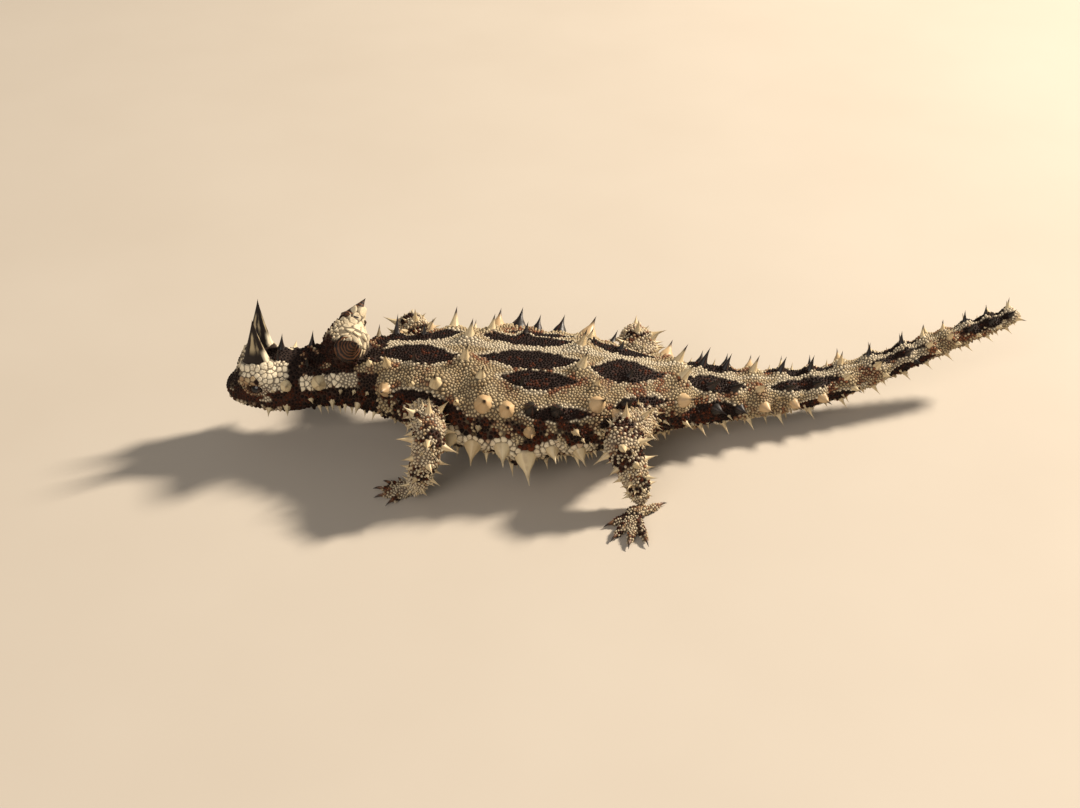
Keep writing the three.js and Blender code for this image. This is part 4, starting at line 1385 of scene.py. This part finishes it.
def skin_piece(points, faces, material):
    facing = normals_of(points, faces)
    region, u, angle, depth = regions_of(points)
    marks = Markings(points, region, u, angle, depth, facing).shares()
    values = dict(zip(("dark", "rust", "cream"), marks.T))
    values["shade"] = np.full(len(points), 0.4)
    values["crown"] = np.zeros(len(points))
    centres = points[faces].mean(axis=1)
    corner = faces.ravel()
    owner = np.repeat(np.arange(len(faces)), 4)
    face_region, _, face_angle, _ = regions_of(centres)
    face_facing = unit(facing[faces].mean(axis=1))
    corner_u = np.empty(len(corner))
    corner_angle = np.empty(len(corner))
    for number, one in enumerate(REGIONS.values()):
        here = face_region[owner] == number
        found = one.coordinates(points[corner[here]])
        corner_u[here], corner_angle[here] = found[0], found[1]
    turning = face_region[owner] <= len(LIMBS)
    gap = corner_angle - face_angle[owner]
    wrapped = face_angle[owner] + np.clip((gap + 180) % 360 - 180, -20, 20)
    corner_angle = np.where(turning, wrapped, corner_angle)
    places = island_places(face_region[owner], corner_u, corner_angle, face_facing[owner])
    flesh = [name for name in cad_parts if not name.startswith(("eye_", "brow_horn_"))]
    return piece("skin", points, faces, material, flesh, values, places)


# Profiles of a slender spine and of a blunt one: shares of the length, and of the radius there
THORN = np.array([
    (-0.1, 1.3), (0, 1.2), (0.05, 1.06), (0.1, 0.93), (0.16, 0.8), (0.24, 0.66), (0.36, 0.49),
    (0.5, 0.34), (0.64, 0.22), (0.78, 0.125), (0.9, 0.055), (1, 0.008),
])
BOSS = np.array([
    (-0.1, 1.0), (0, 1.0), (0.06, 1.0), (0.13, 0.95), (0.23, 0.85), (0.33, 0.71), (0.43, 0.53),
    (0.53, 0.35), (0.64, 0.22), (0.78, 0.12), (0.9, 0.055), (1, 0.008),
])


def in_shaded_row(u, angle):
    """Whether a spine of the trunk stands in the flank's row that is painted fully dark as shade."""
    start = SHADED_SPINES_START[1 if angle > 0 else -1]
    return 50 < abs(angle) < 62 and start < u < SHADED_SPINES_END


def spine_pieces(spines, material):
    """All spines, as pieces by the part of the body that they stand on."""
    roots = np.array([spine.root for spine in spines])
    axes = np.array([spine.axis for spine in spines])
    region, u, angle, depth = regions_of(roots)
    marks = Markings(roots, region, u, angle, depth, axes).shares()
    root_places = island_places(region, u, angle, axes)
    groups = {}
    for i, spine in enumerate(spines):
        around = abs(angle[i])
        trunk = region[i] == 0
        blunt = trunk and 50 < around < 120 and spine.radius > 1.45
        fore = trunk and u[i] < NECK_END and around > 50
        pale = fore or not trunk or around > 76 or spine.radius < 0.9
        shaded_row = trunk and in_shaded_row(u[i], angle[i])
        tone = float(ease(0.35, 0.65, marks[i, 0])) * (0.1 if pale else 1.0)
        points, faces, rise, turn = spine_form(spine, BOSS if blunt else THORN, i)
        numbers = {
            "rise": rise,
            "streak": streaks(turn, i),
            # Painted shade: spines of that row are fully dark whatever the markings, and lose their boss
            # colour.
            "tone": 1.0 if shaded_row else tone,
            "boss": float(blunt and around < 84 and not fore and not shaded_row),
            "tip": 0.2 if pale else 1.0,
            "shade": (0.25 if fore else 1.0) * float(chance(i)),
        }
        values = {key: np.broadcast_to(value, len(points)) for key, value in numbers.items()}
        width = max(PATCH, 0.0011 * spine.radius / 0.6)
        share = np.clip(1 - rise, 0.02, 1) * width
        places = root_places[i] + np.stack([np.cos(turn), np.sin(turn)], axis=1) * share[:, None]
        groups.setdefault(spine.group, []).append((points, faces, places, values))
    for group, forms in groups.items():
        points, faces = join(forms)
        points[:, 2] = np.maximum(points[:, 2], FLOOR_CLEARANCE)
        values = {key: np.concatenate([form[3][key] for form in forms]) for key in forms[0][3]}
        uv = np.concatenate([form[2] for form in forms])[faces.ravel()]
        piece(f"{group}_spines", points, faces, material, values=values, places=uv)


def spine_form(spine, profile, number):
    """A spine with low lengthwise keels. rise is the share of its height at each point."""
    sides = 14 if spine.radius > 1.3 else 8
    share, width = profile.T
    heights = share * spine.length
    heights[0] = -0.5 * spine.radius
    turn = np.arange(sides) * 2 * math.pi / sides
    radius = spine.radius * (0.92 if profile is BOSS else SPINE_FOOT)
    rings = cone_rings(spine.root, spine.axis, heights, width * radius, sides, SPINE_SWEEP)
    middle = rings.mean(axis=1, keepdims=True)
    fade = np.interp(share, [0, 0.3, 0.8, 1], [0.3, 1, 0.5, 0])[:, None]
    keel = 1 + 0.07 * np.cos(turn * 5 + number) * fade
    rings = middle + (rings - middle) * keel[..., None]
    return *tube(rings), *rise_and_turn(share, turn)


def rise_and_turn(share, turn):
    """The share of the height and the turn at each point of a tube, with its two end points."""
    rise = np.concatenate([np.repeat(np.maximum(share, 0), len(turn)), [0, 1]])
    return rise, np.concatenate([np.tile(turn, len(share)), [0, 0]])


def streaks(turn, number):
    """Lengthwise streaks round a spine or horn, from 0 to 1."""
    return 0.5 + 0.28 * np.sin(turn * 3 + number) + 0.22 * np.sin(turn * 7 + 2.1 * number)


def horn_form(root, axis, length, radius, number, levels, sides, power, sweep, flatness=1.0):
    """A large smooth horn with low lengthwise ribs and growth rings near its foot. The higher the
    power, the more slender its tip."""
    share = np.concatenate([[-0.2], np.linspace(0, 1, levels) ** 0.9])
    width = np.clip(1 - np.maximum(share, 0), 0.006, 1) ** power
    width = width * (1 + 0.16 * (1 - ease(0, 0.22, share)))
    rings = cone_rings(root, axis, share * length, width * radius, sides, sweep, flatness)
    middle = rings.mean(axis=1, keepdims=True)
    turn = np.arange(sides) * 2 * math.pi / sides
    rib = 0.03 * np.cos(turn * 6 + number) + 0.02 * np.cos(turn * 11 + 2 * number)
    fade = np.interp(share, [0, 0.25, 0.7, 1], [0.4, 1, 0.6, 0])[:, None]
    ring = 0.016 * np.cos(share * 58)[:, None] * np.interp(share, [0, 0.55], [1, 0])[:, None]
    rings = middle + (rings - middle) * (1 + rib * fade + ring)[..., None]
    return *tube(rings), *rise_and_turn(share, turn)


BROW_SHELL = {"levels": 30, "sides": 36, "power": 1.15}
KNOB_SHELL = {"levels": 24, "sides": 30, "power": 1.1, "sweep": 0.2}
KNOB_SHELL_START = 0.4  # share of the knob's horn that its skin covers
KNOB_SHELL_RADIUS = 0.62  # as a share of the radius at the horn's root


def horn_pieces(material):
    for number, (name, side) in enumerate(SIDES.items()):
        root, axis = brow_horn_place(side)
        points, faces, rise, turn = horn_form(
            root, axis, BROW_HORN["length"], 0.94 * BROW_HORN["radius"], number + 1, **BROW_SHELL,
            sweep=BROW_HORN["sweep"], flatness=BROW_HORN["flatness"],
        )
        arm = points - root
        values = {
            "rise": rise,
            "streak": streaks(turn, number + 2),
            "bare": np.ones(len(points)),
            # back is how far each point faces the tail; the horn material paints a lit rim from it.
            "back": unit(arm - np.outer(arm @ axis, axis))[:, 0],
        }
        piece(f"brow_horn_{name}_shell", points, faces, material, [f"brow_horn_{name}"], values)

        root, axis = knob_horn_place(side)
        length, radius = KNOB_HORN["length"], KNOB_HORN["radius"]
        start = KNOB_SHELL_START * length
        outer = unit(np.array([0, -side, 0]) + side * axis[1] * axis)
        foot = root + start * axis + 0.14 * radius * outer
        points, faces, rise, turn = horn_form(
            foot, axis, length - start, KNOB_SHELL_RADIUS * radius, number + 3, **KNOB_SHELL,
        )
        values = {
            "rise": 0.35 + 0.65 * rise,
            "streak": streaks(turn, number + 5),
            "bare": np.zeros(len(points)),
            "back": np.zeros(len(points)),
        }
        piece(f"knob_horn_{name}_shell", points, faces, material, values=values)


def claw_piece(material):
    """All claws: arched, drooping at the tip, and narrower than they are tall."""
    share = np.linspace(-0.25, 1, 14)
    width = np.clip(1 - np.maximum(share, 0), 0.02, 1) ** 0.8
    droop = -CLAW["droop"] * CLAW["length"] * np.maximum(share, 0) ** 2.2
    arch = 0.18 * np.sin(np.pi * np.clip(share, 0, 1))
    c, s = circle(12)
    forms = []
    for foot in FEET.values():
        for way, end in foot.toes:
            middle = end + CLAW["length"] * share[:, None] * way + (droop + arch)[:, None] * UP
            arm = 0.75 * c[:, None] * np.cross(way, UP) + 1.1 * s[:, None] * UP
            forms.append(tube(middle[:, None] + arm * (0.8 * CLAW["radius"] * width)[:, None, None]))
    points, faces = join(forms)
    points[:, 2] = np.maximum(points[:, 2], FLOOR_CLEARANCE)
    rise = np.tile(rise_and_turn(share, c)[0], len(forms))
    piece("claws", points, faces, material, values={"rise": rise})


def eye_pieces(material):
    for name, side in SIDES.items():
        centre, facing = eye_place(side)
        points, faces = ball(np.zeros(3), [EYE["radius"]] * 3, 30, 40)
        a, b = across(facing)
        toward = points[:, 2] / EYE["radius"]
        points = points @ np.array([a, b, facing]) + centre
        piece(f"eye_{name}_ball", points, faces, material, [f"eye_{name}"], {"toward": toward})


# Materials

def colour(code):
    """A colour from its six hexadecimal digits, as the shader takes it."""
    parts = np.array([int(code[i:i + 2], 16) for i in (1, 3, 5)]) / 255
    parts = np.where(parts <= 0.04045, parts / 12.92, ((parts + 0.055) / 1.055) ** 2.4)
    return (*map(float, parts), 1.0)


class Value:
    """A socket that gives a number, with the usual signs for sums and products."""

    def __init__(self, paint, socket):
        self.paint = paint
        self.socket = socket

    def math(self, operation, *inputs):
        return self.paint.node("ShaderNodeMath", {"operation": operation}, dict(enumerate(inputs)))

    def __add__(self, other):
        return self.math("ADD", self, other)

    def __mul__(self, other):
        return self.math("MULTIPLY", self, other)

    def __rsub__(self, other):
        return self.math("SUBTRACT", other, self)

    def sine(self):
        return self.math("SINE", self)

    __radd__ = __add__
    __rmul__ = __mul__


class Paint:
    """The nodes of one material."""

    def __init__(self, name, **fixed):
        self.material = bpy.data.materials.new(name)
        self.material.use_nodes = True
        self.nodes = self.material.node_tree.nodes
        self.links = self.material.node_tree.links
        self.shader = self.nodes["Principled BSDF"]
        for socket, value in fixed.items():
            self.shader.inputs[socket.replace("_", " ")].default_value = value

    def node(self, kind, settings=None, inputs=None, output=0):
        made = self.nodes.new(kind)
        for key, value in (settings or {}).items():
            setattr(made, key, value)
        for key, value in (inputs or {}).items():
            self.feed(made.inputs[key], value)
        return Value(self, made.outputs[output])

    def feed(self, socket, value):
        if isinstance(value, Value):
            self.links.new(value.socket, socket)
        else:
            socket.default_value = value

    def number(self, name):
        """The number that a mesh's points carry under a name."""
        return self.node("ShaderNodeAttribute", {"attribute_name": name}, output="Fac")

    def vector(self, operation, first, second):
        return self.node("ShaderNodeVectorMath", {"operation": operation}, {0: first, 1: second})

    def noise(self, grain, detail=3.0, stretch=None):
        """Noise from 0 to 1 with patches about as long as the grain, in millimetres."""
        where = self.node("ShaderNodeTexCoord", output="Object")
        if stretch:
            where = self.vector("MULTIPLY", where, stretch)
        inputs = {"Vector": where, "Scale": 1 / (grain * MM), "Detail": detail}
        return self.node("ShaderNodeTexNoise", inputs=inputs)

    def cracks(self, grain):
        """Thin branching lines, 1 on a line and 0 off it, with fields as long as the grain."""
        where = self.node("ShaderNodeTexCoord", output="Object")
        inputs = {"Vector": where, "Scale": 2 / (grain * MM)}
        bend = self.node("ShaderNodeTexNoise", inputs=inputs, output="Color")
        bend = self.vector("MULTIPLY", bend, (0.5 * grain * MM,) * 3)
        inputs = {"Vector": self.vector("ADD", where, bend), "Scale": 1 / (grain * MM)}
        apart = self.node("ShaderNodeTexVoronoi", {"feature": "DISTANCE_TO_EDGE"}, inputs)
        return 1 - self.ease(apart, 0.02, 0.09)

    def ease(self, value, low, high):
        settings = {"interpolation_type": "SMOOTHSTEP"}
        return self.node("ShaderNodeMapRange", settings, {"Value": value, "From Min": low, "From Max": high})

    def mix(self, share, first, second):
        """The first colour, or the second where the share is 1."""
        inputs = {0: share, 6: first, 7: second}
        return self.node("ShaderNodeMix", {"data_type": "RGBA"}, inputs, 2)

    def finish(self, base, roughness, height=None, depth=0.1):
        """Joins the colours to the shader, with relief that is depth millimetres deep."""
        self.feed(self.shader.inputs["Base Color"], base)
        self.feed(self.shader.inputs["Roughness"], roughness)
        if height is not None:
            inputs = {"Height": height, "Distance": depth * MM, "Strength": 1.0}
            bump = self.node("ShaderNodeBump", inputs=inputs)
            self.feed(self.shader.inputs["Normal"], bump)
        return self.material


TAN = colour("#d0bf9b")
CREAM = colour("#f0e4c8")
RUST = colour("#964a20")
MAROON = colour("#0d0504")
# Painted shade: the dark colour laid where scales meet the skin, in the gaps between scales and at the feet
# of spines.
GROOVE_SHADE = colour("#26130b")
HORN_BROWN = colour("#1a0f0a")
HORN_PALE = colour("#bcab88")
SPINE_PALE = colour("#d9c8a2")
TIP_BROWN = colour("#2b1a12")


def marked_colour(paint):
    """The animal's markings, from the numbers that the skin and the scales both carry."""
    grain = paint.noise(1.4, 4)
    tan = paint.mix(paint.ease(grain, 0.4, 0.75), TAN, colour("#b39a72"))
    tan = paint.mix(paint.number("shade") * 0.3, tan, colour("#86694a"))
    ground = paint.mix(paint.number("cream"), tan, CREAM)
    rusty = paint.mix(paint.ease(paint.noise(0.8), 0.3, 0.7), RUST, colour("#6a2f18"))
    ground = paint.mix(paint.number("rust") * 0.85, ground, rusty)
    dark = paint.mix(paint.number("rust") * 0.55, MAROON, rusty)
    return paint.mix(paint.number("dark"), ground, dark)


def scale_material():
    paint = Paint("scale_horn", Specular_IOR_Level=0.16)
    marked = marked_colour(paint)
    crown = paint.number("crown")
    # Painted shade: each scale darkens towards the groove shade colour at its sunk rim, where shade falls
    # between scales.
    base = paint.mix((1 - crown) * 0.9, marked, GROOVE_SHADE)
    fine = paint.noise(0.25, 2)
    lines = paint.cracks(0.8) * paint.ease(paint.noise(2.2), 0.35, 0.6)
    base = paint.mix(lines * paint.number("cream") * 0.65, base, colour("#7a5a3a"))
    return paint.finish(base, 0.55 + 0.25 * fine, fine, 0.03)


def skin_material():
    paint = Paint("skin_between_scales", Specular_IOR_Level=0.3)
    # Painted shade: the skin between the scales is mostly the groove shade colour, over a fifth of the
    # markings' colour.
    base = paint.mix(0.8, marked_colour(paint), GROOVE_SHADE)
    fine = paint.noise(0.3, 4)
    return paint.finish(base, 0.7 + 0.15 * fine, fine, 0.12)


def spine_material():
    paint = Paint("spine_horn", Specular_IOR_Level=0.5)
    rise = paint.number("rise")
    streak = paint.number("streak")
    shade = paint.number("shade")
    grain = paint.noise(0.9, 4)
    pale = paint.mix(shade * 0.5, SPINE_PALE, colour("#b89b6c"))
    pale = paint.mix(paint.ease(streak + 0.5 * grain, 0.75, 1.15) * 0.45, pale, colour("#8a6b48"))
    boss = paint.number("boss")
    pale = paint.mix(boss * 0.6, pale, colour("#b8946a"))
    pale = paint.mix(paint.ease(rise + 0.12 * grain, 0.62, 0.88) * paint.number("tip"), pale, TIP_BROWN)
    dark = paint.mix(paint.ease(streak + 0.4 * grain, 0.8, 1.1) * 0.5, MAROON, colour("#5a3524"))
    base = paint.mix(paint.number("tone"), pale, dark)
    # Painted shade: each spine darkens towards the groove shade colour at its foot, where it meets the skin.
    base = paint.mix((1 - paint.ease(rise, 0.02, 0.16)) * 0.8, base, GROOVE_SHADE)
    return paint.finish(base, 0.36 + 0.2 * grain, grain, 0.05)


def horn_material():
    paint = Paint("brow_horn", Specular_IOR_Level=0.35)
    rise = paint.number("rise")
    streak = paint.number("streak")
    grain = paint.noise(1.1, 5, (1.0, 1.0, 0.3))
    bare = paint.number("bare")
    pale = paint.ease(streak + 0.9 * grain, 0.95, 1.2) * paint.ease(rise, 0.32, 0.48)
    pale = pale * (1 - paint.ease(rise, 0.66, 0.78)) * bare
    base = paint.mix(pale * 0.85, HORN_BROWN, HORN_PALE)
    # Painted light: a cream rim on the side of the brow horn's lower part that faces the tail, standing in
    # for light from behind.
    edge = paint.ease(paint.number("back") + 0.3 * grain, 0.95, 1.1) * (1 - paint.ease(rise, 0.3, 0.45))
    base = paint.mix(edge * 0.9, base, CREAM)
    ringed = (rise * 68 + grain * 9).sine()
    base = paint.mix(paint.ease(ringed, -0.6, 1.0) * (1 - bare) * 0.6, base, colour("#7a4f31"))
    base = paint.mix(paint.ease(rise, 0.75, 0.95) * 0.7, base, colour("#140b08"))
    return paint.finish(base, 0.36 + 0.3 * grain, grain + 0.5 * streak, 0.14)


def claw_material():
    paint = Paint("claw_horn", Specular_IOR_Level=0.5)
    rise = paint.number("rise")
    grain = paint.noise(0.5, 3)
    base = paint.mix(paint.ease(rise + 0.2 * grain, 0.2, 0.9), colour("#6d4a32"), colour("#1c110c"))
    return paint.finish(base, 0.3 + 0.2 * grain, grain, 0.04)


def eye_material():
    paint = Paint("eye", Specular_IOR_Level=0.4, Coat_Weight=0.2, Coat_Roughness=0.08)
    toward = paint.number("toward")
    iris = paint.mix(paint.noise(0.3, 4), colour("#3a1f0e"), colour("#160a05"))
    base = paint.mix(paint.ease(toward, 0.9, 0.93), iris, colour("#050303"))
    base = paint.mix(1 - paint.ease(toward, 0.7, 0.8), base, colour("#1a0e08"))
    return paint.finish(base, 0.2)


# The animal

spines = all_spines()
skin_points, skin_faces = cast_skin()
skin_points = shape_skin(skin_points, skin_faces, spines)
skin_piece(skin_points, skin_faces, skin_material())
coat = Coat(skin_points, skin_faces, spines)
scale_pieces(coat, scale_material())
spine_pieces(spines, spine_material())
horn_pieces(horn_material())
claw_piece(claw_material())
eye_pieces(eye_material())


# Floor, light and camera

TARGET = np.array([-19.8, 0.0, 10.4])
DISTANCE = 334.0
ELEVATION = 35.0
FIELD = 40.0
SENSOR_WIDTH = 36
FLOOR_HALF = 3000

# Lights: place, width, power and tint
LIGHTS = {
    "key": ((1150, 520, 900), 210, 52, "#fff0dc"),
    "fill": ((-500, -1000, 800), 900, 7, "#fff4ea"),
}


def placed(point):
    return Vector((np.asarray(point) + SHIFT) * MM)


def aim(item, target):
    item.rotation_mode = "QUATERNION"
    item.rotation_quaternion = (target - item.location).to_track_quat("-Z", "Y")


def add_floor():
    corners = np.array([[-1, -1, 0], [1, -1, 0], [1, 1, 0], [-1, 1, 0]]) * FLOOR_HALF
    mesh = raw_mesh("floor", corners * MM, np.array([[0, 1, 2, 3]]))
    paint = Paint("pale_floor")
    grain = paint.noise(60, 3)
    mesh.materials.append(paint.finish(paint.mix(grain, colour("#c4bcb0"), colour("#bbb2a5")), 0.8))
    floor = bpy.data.objects.new("floor", mesh)
    bpy.context.scene.collection.objects.link(floor)


def add_light(name, place, size, power, tint):
    data = bpy.data.lights.new(name, "AREA")
    data.shape = "DISK"
    data.size = size * MM
    data.energy = power
    data.color = colour(tint)[:3]
    light = bpy.data.objects.new(name, data)
    bpy.context.scene.collection.objects.link(light)
    light.location = placed(place)
    aim(light, placed(TARGET))


def add_camera():
    data = bpy.data.cameras.new("camera")
    data.sensor_width = SENSOR_WIDTH
    data.lens = SENSOR_WIDTH / 2 / math.tan(math.radians(FIELD / 2))
    data.clip_start, data.clip_end = 0.01, 20
    camera = bpy.data.objects.new("camera", data)
    bpy.context.scene.collection.objects.link(camera)
    tilt = math.radians(ELEVATION)
    camera.location = placed(TARGET + DISTANCE * np.array([0, -math.cos(tilt), math.sin(tilt)]))
    aim(camera, placed(TARGET))
    bpy.context.scene.camera = camera


add_floor()
add_camera()
for light_name, light_plan in LIGHTS.items():
    add_light(light_name, *light_plan)
world = bpy.data.worlds.new("studio")
world.use_nodes = True
world.node_tree.nodes["Background"].inputs["Color"].default_value = colour("#f4efe8")
world.node_tree.nodes["Background"].inputs["Strength"].default_value = 0.22
bpy.context.scene.world = world
bpy.context.scene.view_settings.view_transform = "Standard"
